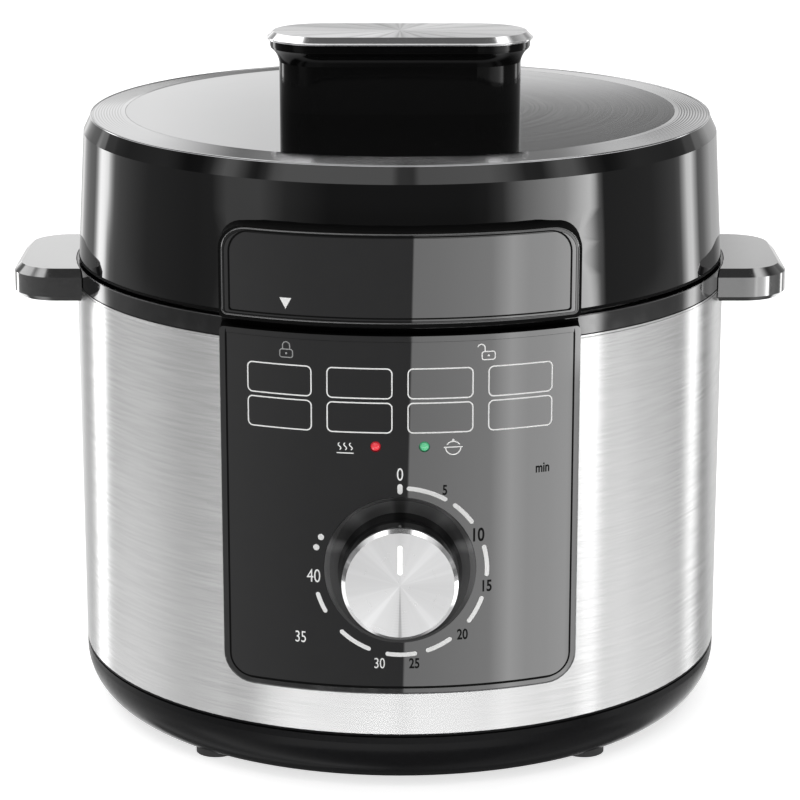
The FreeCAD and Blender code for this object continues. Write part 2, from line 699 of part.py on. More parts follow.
def upright_screw(label, x, y, seat_height, length, head_up=True):
    """A pan-head screw. Its head stands on the seat, or hangs under it with the shank pointing up."""
    if head_up:
        head = drum(label + "_head", s.screw_head, seat_height, seat_height + s.screw_cap, x, y)
        shank = drum(label + "_shank", s.screw_radius, seat_height - length, seat_height + OVERLAP, x, y)
    else:
        head = drum(label + "_head", s.screw_head, seat_height - s.screw_cap, seat_height, x, y)
        shank = drum(label + "_shank", s.screw_radius, seat_height - OVERLAP, seat_height + length, x, y)
    return fuse(label, head, shank)


def forward_screw(label, x, z, seat_distance, length):
    """A screw along Y whose shank points to the front."""
    head = rod(label + "_head", s.screw_head, seat_distance - s.screw_cap, seat_distance, x, z)
    shank = rod(label + "_shank", s.screw_radius, seat_distance - OVERLAP, seat_distance + length, x, z)
    return fuse(label, head, shank)


def spoke_screw(label, angle, z, seat_radius, length):
    """A screw that points away from the upright axis."""
    head = spoke(label + "_head", s.screw_head, seat_radius - s.screw_cap, seat_radius, angle, z)
    shank = spoke(label + "_shank", s.screw_radius, seat_radius - OVERLAP, seat_radius + length, angle, z)
    return fuse(label, head, shank)


# ---------------------------------------------------------------- base

def foot_places():
    return [(x * s.foot_side, y * s.foot_ahead) for x in (-1, 1) for y in (-1, 1)]


def bracket_angles():
    return [s.bracket_angle, 180 - s.bracket_angle, 180 + s.bracket_angle, 360 - s.bracket_angle]


def bracket_places():
    return [at_angle(bracket_circle, angle) for angle in bracket_angles()]


def make_base_shell():
    """The black bottom moulding: rounded flank, groove, spigot for the steel shell, bosses and vents."""
    spigot = skirt_outside
    flank_top = base_top - s.base_band
    groove_low = base_top - s.base_groove * 2
    body = lathe("base_shell", [
        (0, s.foot_drop),
        (base_bottom_radius, s.foot_drop),
        (s.shell_radius, flank_top, s.base_round),
        (s.shell_radius, groove_low),
        (s.shell_radius - s.base_groove, groove_low),
        (s.shell_radius - s.base_groove, base_top - s.base_groove),
        (s.shell_radius, base_top - s.base_groove),
        (s.shell_radius, base_top),
        (spigot, base_top),
        (spigot, base_top + s.spigot_height),
        (spigot - s.base_wall, base_top + s.spigot_height),
        (spigot - s.base_wall, flank_top),
        (base_bottom_radius - s.base_wall, base_floor, -s.base_round),
        (0, base_floor),
    ])
    bosses = draw_circles(new_sketch(body, "XY_Plane", base_floor - OVERLAP), bracket_places(), s.base_boss)
    add_pad(body, bosses, s.bracket_foot - base_floor + OVERLAP)
    counterbore_top = s.foot_drop + s.base_counterbore
    wide = draw_circles(new_sketch(body, "XY_Plane", counterbore_top), bracket_places(),
                        s.screw_head + s.screw_fit)
    add_pocket(body, wide, s.base_counterbore)
    narrow = draw_circles(new_sketch(body, "XY_Plane", s.bracket_foot), bracket_places(),
                          s.screw_radius + s.screw_fit)
    add_pocket(body, narrow, s.bracket_foot - s.foot_drop)
    pegs = draw_circles(new_sketch(body, "XY_Plane", base_floor), foot_places(), s.foot_peg + s.screw_fit)
    add_pocket(body, pegs, s.base_wall)
    first = -s.vent_pitch * (s.vent_count - 1) / 2
    slot = draw_outline(new_sketch(body, "XY_Plane", base_floor), box_outline(
        -s.vent_length / 2, s.vent_length / 2, first - s.vent_width / 2, first + s.vent_width / 2,
        s.vent_width * 0.45))
    vent = add_pocket(body, slot, s.base_wall)
    row = body.newObject("PartDesign::LinearPattern", "base_vents")
    row.Originals = [vent]
    row.Direction = (plane_of(body, "Y_Axis"), [""])
    tie(row, Length=s.vent_pitch * (s.vent_count - 1), Occurrences=s.vent_count)
    body.Tip = row
    return node("base_shell", body)


def make_feet():
    """Four rubber feet, each with a peg through the base floor."""
    feet = []
    for index, (x, y) in enumerate(foot_places()):
        pad = drum(f"foot_pad_{index}", s.foot_radius, 0, s.foot_drop, x, y)
        peg = drum(f"foot_peg_{index}", s.foot_peg, s.foot_drop - OVERLAP, base_floor + s.base_wall, x, y)
        feet.append(fuse(f"foot_{index}", pad, peg))
    return node("base_feet", group("base_feet", *feet))


def make_base_screws():
    seat_height = s.foot_drop + s.base_counterbore
    length = s.bracket_foot - seat_height + s.bracket_wall * 3
    screws = [upright_screw(f"base_screw_{index}", x, y, seat_height, length, head_up=False)
              for index, (x, y) in enumerate(bracket_places())]
    return node("base_screws", group("base_screws", *screws))


def make_base_brackets():
    """Four steel straps on the outer pot's wall. Their feet stand on the base's bosses."""
    brackets = []
    near = bore_outside + s.slip
    for index, angle in enumerate(bracket_angles()):
        strap = turned_block(f"strap_{index}", angle, near, near + s.bracket_wall, s.bracket_half,
                             s.bracket_foot, s.bracket_head)
        foot = turned_block(f"strap_foot_{index}", angle, near, bracket_circle + s.base_boss,
                            s.bracket_half, s.bracket_foot, s.bracket_foot + s.bracket_wall)
        x, y = at_angle(bracket_circle, angle)
        hole = drum(f"strap_hole_{index}", s.screw_radius + s.screw_fit, s.bracket_foot - OVERLAP,
                    s.bracket_foot + s.bracket_wall + OVERLAP, x, y)
        brackets.append(cut(f"bracket_{index}", fuse(f"bracket_blank_{index}", strap, foot), hole))
    return node("base_brackets", group("base_brackets", *brackets))


# ---------------------------------------------------------------- outer body

def panel_screw_places():
    """Angle from +X and height of each screw that holds the panel's frame."""
    heights = (s.panel_foot + s.panel_screw_inset, panel_top - s.panel_screw_inset)
    return [(FRONT + side * panel_screw_angle, z) for side in (-1, 1) for z in heights]


def timer_screw_heights():
    return [dial_height - s.timer_screw_rise, dial_height + s.timer_screw_rise]


def lamp_places():
    return [-s.lamp_side, s.lamp_side]


def make_steel_shell():
    """The brushed steel jacket, with openings for the dial, lamps, screws, inlet and cup."""
    jacket = tube("steel_jacket", shell_inside, s.shell_radius, base_top, shell_top)
    dial_window = rod("dial_window", s.dish_radius + s.slip, 0, s.shell_radius + BEYOND, 0, dial_height)
    tools = [dial_window]
    for index, z in enumerate(timer_screw_heights()):
        tools.append(rod(f"timer_window_{index}", s.boss_radius + s.slip, 0, s.shell_radius + BEYOND, 0, z))
    for index, x in enumerate(lamp_places()):
        tools.append(rod(f"lamp_window_{index}", s.lamp_radius + s.slip, 0, s.shell_radius + BEYOND,
                         x, lamp_height))
    for index, (angle, z) in enumerate(panel_screw_places()):
        tools.append(spoke(f"panel_screw_window_{index}", s.screw_radius + s.slip, bore_outside,
                           s.shell_radius + BEYOND, angle, z))
    for side in (-1, 1):
        for end in (-1, 1):
            tools.append(grip_screw_hole(f"shell_grip_window_{side}_{end}", side, end, s.slip))
    tools.append(block("inlet_window",
                       (-(s.inlet_half_x + s.slip), s.inlet_half_x + s.slip),
                       (bore_outside, s.shell_radius + BEYOND),
                       (s.inlet_height - s.inlet_half_z - s.slip, s.inlet_height + s.inlet_half_z + s.slip)))
    for index, x in enumerate((-s.inlet_screw_side, s.inlet_screw_side)):
        tools.append(rear_rod(f"inlet_screw_window_{index}", s.screw_radius + s.slip, bore_outside,
                              s.shell_radius + BEYOND, x, s.inlet_height))
    for index, (x, z) in enumerate(cup_screw_places()):
        tools.append(rear_rod(f"cup_screw_window_{index}", s.screw_radius + s.slip, bore_outside,
                              s.shell_radius + BEYOND, x, z))
    return node("steel_shell", cut("steel_shell", jacket, *tools))


def make_body_ring():
    """The black ring on top of the shell. The outer pot's flange is screwed down on it."""
    body = lathe("ring_moulding", [
        (skirt_inside, shell_top - s.ring_skirt),
        (skirt_outside, shell_top - s.ring_skirt),
        (skirt_outside, shell_top),
        (s.shell_radius, shell_top),
        (s.shell_radius, ring_top),
        (ring_inner_radius, ring_top),
        (ring_inner_radius, ring_top - s.ring_plate),
        (skirt_inside, ring_top - s.ring_plate),
    ])
    place = at_angle(flange_screw_circle, 0)
    boss_foot = shell_top - s.ring_skirt / 4
    boss = add_pad(body, draw_circles(new_sketch(body, "XY_Plane", boss_foot), [place], s.boss_radius),
                   ring_top - boss_foot)
    repeat_round(body, boss, s.flange_screw_count)
    hole = add_pocket(body, draw_circles(new_sketch(body, "XY_Plane", ring_top), [place],
                                         s.screw_radius + s.screw_fit), ring_top - boss_foot)
    repeat_round(body, hole, s.flange_screw_count)
    holes = [grip_screw_hole(f"ring_grip_window_{side}_{end}", side, end, s.screw_fit)
             for side in (-1, 1) for end in (-1, 1)]
    return node("body_ring", cut("body_ring", body, *holes))


def grip_screw_height():
    return ring_top - s.grip_thickness / 2


def grip_screw_seat():
    """Sideways distance at which a screw's flat head clears the ring's round skirt."""
    return beside(skirt_inside, s.grip_screw_side + s.screw_head)


def side_rod(label, radius, near, far, side, y, z):
    """A cylinder along X, on the side given as -1 or 1."""
    item = DOC.addObject("Part::Cylinder", label)
    tie(item, Radius=radius, Height=far - near)
    outwards = FreeCAD.Rotation(FreeCAD.Vector(0, 0, 1), FreeCAD.Vector(side, 0, 0))
    return seat(item, near * side, y, z, outwards)


def rear_rod(label, radius, near, far, x, z):
    """A cylinder along Y behind the middle."""
    item = DOC.addObject("Part::Cylinder", label)
    tie(item, Radius=radius, Height=far - near)
    backwards = FreeCAD.Rotation(FreeCAD.Vector(0, 0, 1), FreeCAD.Vector(0, 1, 0))
    return seat(item, x, near, z, backwards)


def grip_screw_hole(label, side, end, room):
    return side_rod(label, s.screw_radius + room, bore_outside, grip_reach - s.grip_corner, side,
                    end * s.grip_screw_side, grip_screw_height())


def make_grip(label, side):
    """A side grip: a rounded slab with chamfered edges and a finger pocket underneath."""
    foot = ring_top - s.grip_thickness
    near, far = ring_inner_radius, grip_reach
    outline = [
        (near, -s.grip_half),
        (far - s.grip_corner, -s.grip_half),
        (far, s.grip_corner - s.grip_half, s.grip_corner),
        (far, s.grip_half - s.grip_corner),
        (far - s.grip_corner, s.grip_half, s.grip_corner),
        (near, s.grip_half),
    ]
    body = new_body(label + "_slab")
    add_pad(body, draw_outline(new_sketch(body, "XY_Plane", foot), outline), s.grip_thickness)
    DOC.recompute()
    for height, size in ((ring_top, s.grip_top_chamfer), (foot, s.grip_low_chamfer)):
        chamfer = body.newObject("PartDesign::Chamfer", body.Name + "_chamfer")
        chamfer.Base = (chamfer.BaseFeature, edges_at(body.Shape, number(height), number(near)))
        tie(chamfer, Size=size)
        DOC.recompute()
    pocket_near = s.shell_radius + s.grip_wall
    inner_round = s.grip_corner - s.grip_wall
    pocket = [
        (pocket_near, s.grip_wall - s.grip_half),
        (far - s.grip_corner, s.grip_wall - s.grip_half),
        (far - s.grip_wall, s.grip_corner - s.grip_half, inner_round),
        (far - s.grip_wall, s.grip_half - s.grip_corner),
        (far - s.grip_corner, s.grip_half - s.grip_wall, inner_round),
        (pocket_near, s.grip_half - s.grip_wall),
    ]
    add_pocket(body, draw_outline(new_sketch(body, "XY_Plane", foot + s.grip_pocket), pocket), s.grip_pocket)
    if side < 0:
        body.Placement = FreeCAD.Placement(
            FreeCAD.Vector(), FreeCAD.Rotation(FreeCAD.Vector(0, 0, 1), 180))
    bosses = []
    tools = [drum(label + "_seat", shell_clear, foot - BEYOND, ring_top + BEYOND)]
    for end in (-1, 1):
        bosses.append(side_rod(f"{label}_boss_{end}", s.boss_radius, ring_inner_radius,
                               grip_reach - s.grip_corner + s.grip_wall, side,
                               end * s.grip_screw_side, grip_screw_height()))
        tools.append(grip_screw_hole(f"{label}_hole_{end}", side, end, s.screw_fit))
    return node(label, cut(label, fuse(label + "_blank", body, *bosses), *tools))


def edges_at(shape, height, near):
    """Names of the edges that lie at one height, except the straight one nearest the axis."""
    names = []
    for index, edge in enumerate(shape.Edges, start=1):
        box = edge.BoundBox
        level = abs(box.ZMin - height) < 1e-6 and abs(box.ZMax - height) < 1e-6
        if level and box.XMax > near + 1e-6:
            names.append(f"Edge{index}")
    return names


def make_grip_screws():
    screws = []
    far = grip_screw_seat()
    length = grip_reach - s.grip_corner - far - s.bond
    for side in (-1, 1):
        for end in (-1, 1):
            y, z = end * s.grip_screw_side, grip_screw_height()
            head = side_rod(f"grip_screw_head_{side}_{end}", s.screw_head, far - s.screw_cap, far,
                            side, y, z)
            shank = side_rod(f"grip_screw_shank_{side}_{end}", s.screw_radius, far - OVERLAP, far + length,
                             side, y, z)
            screws.append(fuse(f"grip_screw_{side}_{end}", head, shank))
    return node("grip_screws", group("grip_screws", *screws))


# ---------------------------------------------------------------- front panel and dial

def panel_outline(inset):
    """The panel's outline seen from the front, set in by a distance."""
    return box_outline(inset - s.panel_half, s.panel_half - inset, s.panel_foot + inset, panel_top - inset,
                       s.panel_corner - inset * 0.8, s.panel_top_corner - inset * 0.5)


def make_panel_frame():
    """The black moulding that stands out from the shell and holds the panel plate, dish and timer."""
    low, high = s.panel_foot, panel_top
    outer = curved_plate("frame_blank", shell_clear, panel_radius, panel_outline(0), low, high)
    recess = curved_plate("frame_recess", plate_back, panel_radius + OVERLAP,
                          panel_outline(s.panel_border), low, high)
    hollow = curved_plate("frame_hollow", shell_inside, frame_back,
                          panel_outline(s.panel_wall), low, high)
    shell = cut("frame_shell", outer, recess, hollow)
    pieces = [shell]
    holes = [rod("frame_dish_hole", s.dish_radius + s.bond, 0, panel_radius + BEYOND, 0, dial_height)]
    for index, z in enumerate(timer_screw_heights()):
        boss = rod(f"timer_boss_{index}", s.boss_radius, strap_front, plate_back, 0, z)
        pieces.append(common(f"timer_boss_trim_{index}", boss,
                             drum(f"timer_boss_limit_{index}", plate_back - OVERLAP, low, high)))
        holes.append(rod(f"timer_screw_hole_{index}", s.screw_radius + s.screw_fit, strap_front - OVERLAP,
                         frame_back, 0, z))
    for index, x in enumerate(lamp_places()):
        holes.append(rod(f"frame_lamp_hole_{index}", s.lamp_radius + s.bond, 0, panel_radius + BEYOND,
                         x, lamp_height))
    for index, (angle, z) in enumerate(panel_screw_places()):
        pieces.append(spoke(f"panel_boss_{index}", s.boss_radius, shell_clear, frame_back + OVERLAP,
                            angle, z))
        holes.append(spoke(f"panel_screw_hole_{index}", s.screw_radius + s.screw_fit, bore_outside,
                           frame_back, angle, z))
    return node("panel_frame", cut("panel_frame", fuse("frame_with_bosses", *pieces), *holes))


def make_control_panel():
    """The glossy plate that carries the markings."""
    inset = s.panel_border + s.bond
    plate = curved_plate("panel_plate_blank", plate_back, plate_face, panel_outline(inset),
                         s.panel_foot, panel_top)
    holes = [rod("plate_dish_hole", s.dish_radius + s.bond, 0, panel_radius + BEYOND, 0, dial_height)]
    for index, x in enumerate(lamp_places()):
        holes.append(rod(f"plate_lamp_hole_{index}", s.lamp_radius + s.bond, 0, panel_radius + BEYOND,
                         x, lamp_height))
    return node("control_panel", cut("control_panel", plate, *holes))


def make_panel_screws():
    seat_radius = shell_inside - s.bond
    length = frame_back - seat_radius - s.bond
    screws = [spoke_screw(f"panel_screw_{index}", angle, z, seat_radius, length)
              for index, (angle, z) in enumerate(panel_screw_places())]
    return node("panel_screws", group("panel_screws", *screws))


def make_dial_dish():
    """The round hollow behind the dial. Its lip follows the panel's curve; a flange holds it from behind."""
    lip_inside = s.dish_radius - s.dish_lip
    bowl = lathe("dish_bowl", [
        (lip_inside, -(panel_radius + BEYOND)),
        (s.dish_radius, -(panel_radius + BEYOND)),
        (s.dish_radius, s.dish_back - dish_floor),
        (s.knob_hub + 1, s.dish_back - dish_floor),
        (s.knob_hub + 1, -dish_floor),
        (s.dish_floor_radius, -dish_floor),
        (lip_inside, 1 - panel_radius, -s.dish_curve),
    ], axis="Y", height=dial_height)
    low, high = dial_height - s.dish_flange, dial_height + s.dish_flange
    trimmed = common("dish_trimmed", bowl, drum("dish_limit", panel_radius + s.dish_proud, low, high))
    flange_wall = tube("dish_flange_wall", shell_clear, frame_back - s.slip, low, high)
    flange_disc = rod("dish_flange_disc", s.dish_flange, 0, panel_radius, 0, dial_height)
    flange_hole = rod("dish_flange_hole", s.dish_radius - OVERLAP, 0, panel_radius, 0, dial_height)
    flange = cut("dish_flange", common("dish_flange_blank", flange_wall, flange_disc), flange_hole)
    return node("dial_dish", fuse("dial_dish", trimmed, flange))


def make_lamp(label, x):
    """A domed lamp that stands on the lamp board and looks out through the panel."""
    tip = beside(plate_face, s.lamp_side) + s.lamp_proud
    board_front = strap_front + s.board_wall
    body = rod(label + "_body", s.lamp_radius, board_front, tip - s.lamp_radius, x, lamp_height)
    dome = DOC.addObject("Part::Sphere", label + "_dome")
    tie(dome, Radius=s.lamp_radius)
    seat(dome, x, s.lamp_radius - tip, lamp_height)
    return node(label, fuse(label, body, dome))


def make_lamp_board():
    board = block("lamp_board", (-s.board_half, s.board_half),
                  (-(strap_front + s.board_wall), -strap_front),
                  (lamp_height - s.board_rise, lamp_height + s.board_rise))
    return node("lamp_board", board)


def make_timer_bracket():
    """The steel strap between the frame's bosses and the timer. The lamp board hangs on its upper end."""
    high = lamp_height + s.board_rise
    low = dial_height - s.timer_screw_rise - s.boss_radius
    strap = block("timer_strap", (-s.strap_half, s.strap_half), (-strap_front, -timer_front), (low, high))
    tools = [rod("strap_shaft_hole", s.timer_neck + s.slip, timer_back, panel_radius, 0, dial_height)]
    for index, z in enumerate(timer_screw_heights()):
        tools.append(rod(f"strap_screw_hole_{index}", s.screw_radius + s.screw_fit, timer_back,
                         panel_radius, 0, z))
    return node("timer_bracket", cut("timer_bracket", strap, *tools))


def make_timer_screws():
    length = frame_back - timer_front - s.slip
    screws = [forward_screw(f"timer_screw_{index}", 0, z, timer_front, length)
              for index, z in enumerate(timer_screw_heights())]
    return node("timer_screws", group("timer_screws", *screws))


def make_timer_housing():
    """The clockwork timer's case, with a neck that guides the dial's shaft."""
    case = prism("timer_case", "XZ_Plane", box_outline(
        -s.timer_half_x, s.timer_half_x, dial_height - s.timer_half_z, dial_height + s.timer_half_z,
        s.boss_radius), timer_back, s.timer_depth)
    neck = rod("timer_neck", s.timer_neck, timer_front - OVERLAP, strap_front, 0, dial_height)
    bore = rod("timer_bore", s.shaft_radius + s.running, timer_back + s.base_wall, panel_radius,
               0, dial_height)
    return node("timer_housing", cut("timer_housing", fuse("timer_blank", case, neck), bore))


def make_knob():
    """The dial: a metal face on a black skirt, and the timer's shaft in its hub."""
    face_back = knob_face - s.knob_cap_depth
    skirt_back = face_back - s.knob_collar_depth
    web = face_back - s.knob_wall
    hub_back = dish_floor + 1
    cap = lathe("knob_cap", [
        (0, -knob_face),
        (s.knob_radius - s.knob_bevel, -knob_face),
        (s.knob_radius, s.knob_bevel - knob_face),
        (s.knob_radius, -face_back),
        (0, -face_back),
    ], axis="Y", height=dial_height)
    skirt = lathe("knob_body", [
        (0, -face_back),
        (s.knob_radius, -face_back),
        (s.knob_collar, -skirt_back),
        (s.knob_collar - s.knob_wall, -skirt_back),
        (s.knob_radius - s.knob_wall, -web),
        (s.knob_hub, -web),
        (s.knob_hub, -hub_back),
        (s.shaft_radius, -hub_back),
        (s.shaft_radius, -web),
        (0, -web),
    ], axis="Y", height=dial_height)
    shaft = rod("timer_shaft", s.shaft_radius, timer_back + s.base_wall + s.slip, web, 0, dial_height)
    return [node("knob_cap", cap), node("knob_body", skirt), node("timer_shaft", shaft)]


# ---------------------------------------------------------------- pressure vessel and heating

def make_outer_pot():
    """The fixed outer pot: flange on the ring, ledge for the cooking pot, collar with bayonet lugs."""
    inner_corner = s.bore_corner - s.bore_wall
    body = lathe("bore_wall", [
        (s.bore_hole, s.bore_floor),
        (bore_outside - s.bore_corner, s.bore_floor),
        (bore_outside, s.bore_floor + s.bore_corner, s.bore_corner),
        (bore_outside, ring_top),
        (flange_reach, ring_top),
        (flange_reach, flange_top),
        (bore_outside, flange_top),
        (bore_outside, ledge_top - s.bore_wall),
        (collar_radius + s.bore_wall, ledge_top - s.bore_wall),
        (collar_radius + s.bore_wall, lug_top),
        (collar_radius, lug_top),
        (collar_radius, ledge_top),
        (s.bore_radius, ledge_top),
        (s.bore_radius, s.bore_floor + s.bore_corner),
        (s.bore_radius - inner_corner, bore_inside_floor, -inner_corner),
        (s.bore_hole, bore_inside_floor),
    ])
    sketch = new_sketch(body, "XY_Plane", lug_foot)
    lug = add_pad(body, draw_outline(sketch, sector_outline(
        lug_radius, collar_radius + s.bore_wall / 2, s.lug_angle / 2)), s.lug_height)
    repeat_round(body, lug, s.lug_count)
    tools = [drum(f"floor_terminal_hole_{index}", s.element_radius + 1, s.bore_floor - OVERLAP,
                  bore_inside_floor + OVERLAP, x, y)
             for index, (x, y) in enumerate(terminal_places())]
    tools.append(drum("floor_switch_hole", s.plunger_radius + 1, s.bore_floor - OVERLAP,
                      bore_inside_floor + OVERLAP, -s.switch_side, 0))
    place = at_angle(flange_screw_circle, 0)
    hole = add_pocket(body, draw_circles(new_sketch(body, "XY_Plane", flange_top), [place],
                                         s.screw_radius + s.screw_fit), s.bore_wall)
    repeat_round(body, hole, s.flange_screw_count)
    return node("outer_pot", cut("outer_pot", body, *tools))


def make_flange_screws():
    screws = []
    length = flange_top - shell_top
    for index in range(int(number(s.flange_screw_count))):
        x, y = at_angle(flange_screw_circle, 360 * index / s.flange_screw_count)
        screws.append(upright_screw(f"flange_screw_{index}", x, y, flange_top, length))
    return node("flange_screws", group("flange_screws", *screws))


def make_inner_pot():
    """The removable cooking pot. Its lip hangs over the outer pot's ledge."""
    inner = pot_radius - s.pot_wall
    inner_corner = s.pot_corner - s.pot_wall
    floor = pot_foot + s.pot_floor
    return node("inner_pot", lathe("inner_pot", [
        (0, pot_foot),
        (pot_radius - s.pot_corner, pot_foot),
        (pot_radius, pot_foot + s.pot_corner, s.pot_corner),
        (pot_radius, lip_foot),
        (pot_lip_radius, lip_foot),
        (pot_lip_radius, lip_top),
        (inner, lip_top),
        (inner, floor + inner_corner),
        (inner - inner_corner, floor, -inner_corner),
        (0, floor),
    ]))


def terminal_places():
    """Middles of the heating element's two ends, at the back."""
    return [at_angle(s.element_circle, 90 + side * terminal_half_gap) for side in (-1, 1)]


def leg_places():
    return [at_angle(s.heater_leg_circle, angle) for angle in HEATER_LEGS]


def make_heater_plate():
    """The cast plate under the pot, with a groove for the element and three legs."""
    hole = s.sensor_radius + 1
    body = lathe("heater_disc", [
        (hole, heater_foot),
        (heater_radius, heater_foot),
        (heater_radius, s.heater_top - 1),
        (heater_radius - 1, s.heater_top),
        (hole, s.heater_top),
    ])
    legs = draw_circles(new_sketch(body, "XY_Plane", spring_top), leg_places(), s.heater_leg_radius)
    add_pad(body, legs, heater_foot - spring_top + OVERLAP)
    groove = DOC.addObject("Part::Torus", "element_groove")
    tie(groove, Radius1=s.element_circle, Radius2=s.element_radius + s.bond)
    seat(groove, 0, 0, heater_foot)
    return node("heater_plate", cut("heater_plate", body, groove))


def make_heater_element():
    """The tubular element in the plate's groove, with two terminals that point down."""
    ring = DOC.addObject("Part::Torus", "element_ring")
    tie(ring, Radius1=s.element_circle, Radius2=s.element_radius, Angle3=s.element_turn)
    start = FreeCAD.Rotation(FreeCAD.Vector(0, 0, 1), 90 + number(terminal_half_gap))
    seat(ring, 0, 0, heater_foot, start)
    low = s.bore_floor - s.terminal_drop
    ends = []
    for index, (x, y) in enumerate(terminal_places()):
        ends.append(drum(f"element_end_{index}", s.element_radius, bore_inside_floor, heater_foot, x, y))
        ends.append(drum(f"element_pin_{index}", s.terminal_radius, low, heater_foot, x, y))
    return node("heater_element", fuse("heater_element", ring, *ends))


def make_elastic_plate():
    """The springy disc between the outer pot's floor and the heating plate's legs."""
    disc = tube("elastic_disc", s.spring_hole, heater_radius - s.pot_corner, spring_foot, spring_top)
    tools = [drum(f"elastic_terminal_hole_{index}", s.element_radius + 1, spring_foot - OVERLAP,
                  spring_top + OVERLAP, x, y)
             for index, (x, y) in enumerate(terminal_places())]
    return node("elastic_plate", cut("elastic_plate", disc, *tools))


def make_pressure_switch():
    """The switch under the outer pot. Its plunger feels the elastic plate through a hole."""
    high = s.bore_floor - s.slip
    case = block("switch_case", (-s.switch_side - s.switch_half_x, s.switch_half_x - s.switch_side),
                 (-s.switch_half_y, s.switch_half_y), (high - s.switch_tall, high))
    plunger = drum("switch_plunger", s.plunger_radius, high - OVERLAP, spring_foot - s.slip,
                   -s.switch_side, 0)
    return node("pressure_switch", fuse("pressure_switch", case, plunger))


def make_thermal_cutout():
    """The safety cut-out on the outer pot's side, with its strap."""
    near = bore_outside + s.slip
    case = turned_block("cutout_case", 180, near, near + s.cutout_deep, s.cutout_half,
                        s.cutout_height, s.cutout_height + s.cutout_half)
    strap = turned_block("cutout_strap", 180, near, near + s.bracket_wall, s.cutout_half * 2,
                         s.cutout_height + s.cutout_half / 4, s.cutout_height + s.cutout_half * 3 / 4)
    return node("thermal_cutout", fuse("thermal_cutout", case, strap))


def make_sensor():
    """The sprung temperature sensor in the middle of the heating plate, and its guide."""
    guide_inside = s.sensor_radius + s.running
    guide_outside = guide_inside + s.bracket_wall
    guide_floor = s.bore_floor - s.guide_drop
    flange_foot = s.bore_floor - s.bracket_wall
    guide = lathe("sensor_guide", [
        (s.sensor_wall * 2, guide_floor),
        (guide_outside, guide_floor),
        (guide_outside, flange_foot),
        (s.bore_hole + s.boss_radius * 2, flange_foot),
        (s.bore_hole + s.boss_radius * 2, s.bore_floor),
        (guide_outside, s.bore_floor),
        (guide_outside, heater_foot - s.boss_radius),
        (guide_inside, heater_foot - s.boss_radius),
        (guide_inside, guide_floor + s.bracket_wall),
        (s.sensor_wall * 2, guide_floor + s.bracket_wall),
    ])
    cup_foot = guide_floor + s.bracket_wall + s.sensor_travel + 1
    cup_inside = s.sensor_radius - s.sensor_wall
    cap = lathe("sensor_cup", [
        (cup_inside, cup_foot),
        (s.sensor_radius, cup_foot),
        (s.sensor_radius, s.heater_top - 1),
        (s.sensor_radius - 1, s.heater_top),
        (0, s.heater_top),
        (0, s.heater_top - s.sensor_wall),
        (cup_inside, s.heater_top - s.sensor_wall),
    ])
    low = guide_floor + s.bracket_wall + s.slip
    high = s.heater_top - s.sensor_wall - s.slip
    spring = make_coil("sensor_spring", s.spring_coil, s.spring_wire, low, high, s.spring_turns)
    return [node("sensor_guide", guide), node("sensor_cup", cap), node("sensor_spring", spring)]


def make_coil(label, radius, wire, low, high, turns):
    """A round-wire coil spring about the upright axis, between two heights."""
    wire_radius = number(wire) / 2
    start, rise = number(low) + wire_radius, number(high) - number(low) - 2 * wire_radius
    helix = Part.makeHelix(rise / number(turns), rise, number(radius))
    section = Part.makeCircle(wire_radius, FreeCAD.Vector(number(radius), 0, 0), FreeCAD.Vector(0, 1, 0))
    coil = DOC.addObject("Part::Feature", label)
    coil.Shape = Part.Wire(helix).makePipeShell([Part.Wire(section)], True, True)
    coil.Placement = FreeCAD.Placement(FreeCAD.Vector(0, 0, start), FreeCAD.Rotation())
    return coil


# ---------------------------------------------------------------- lid

def post_places():
    return [at_angle(s.post_circle, angle) for angle in LID_POSTS]


def handle_screw_places():
    return [(-s.handle_screw_side, 0), (s.handle_screw_side, 0)]


def tab_outline(inset):
    """The lid tab's outline seen from the front, set in by a distance."""
    return box_outline(inset - s.panel_half, s.panel_half - inset, lid_foot + inset, tab_top - inset,
                       s.panel_top_corner - inset * 0.5, s.tab_corner - inset * 0.8)


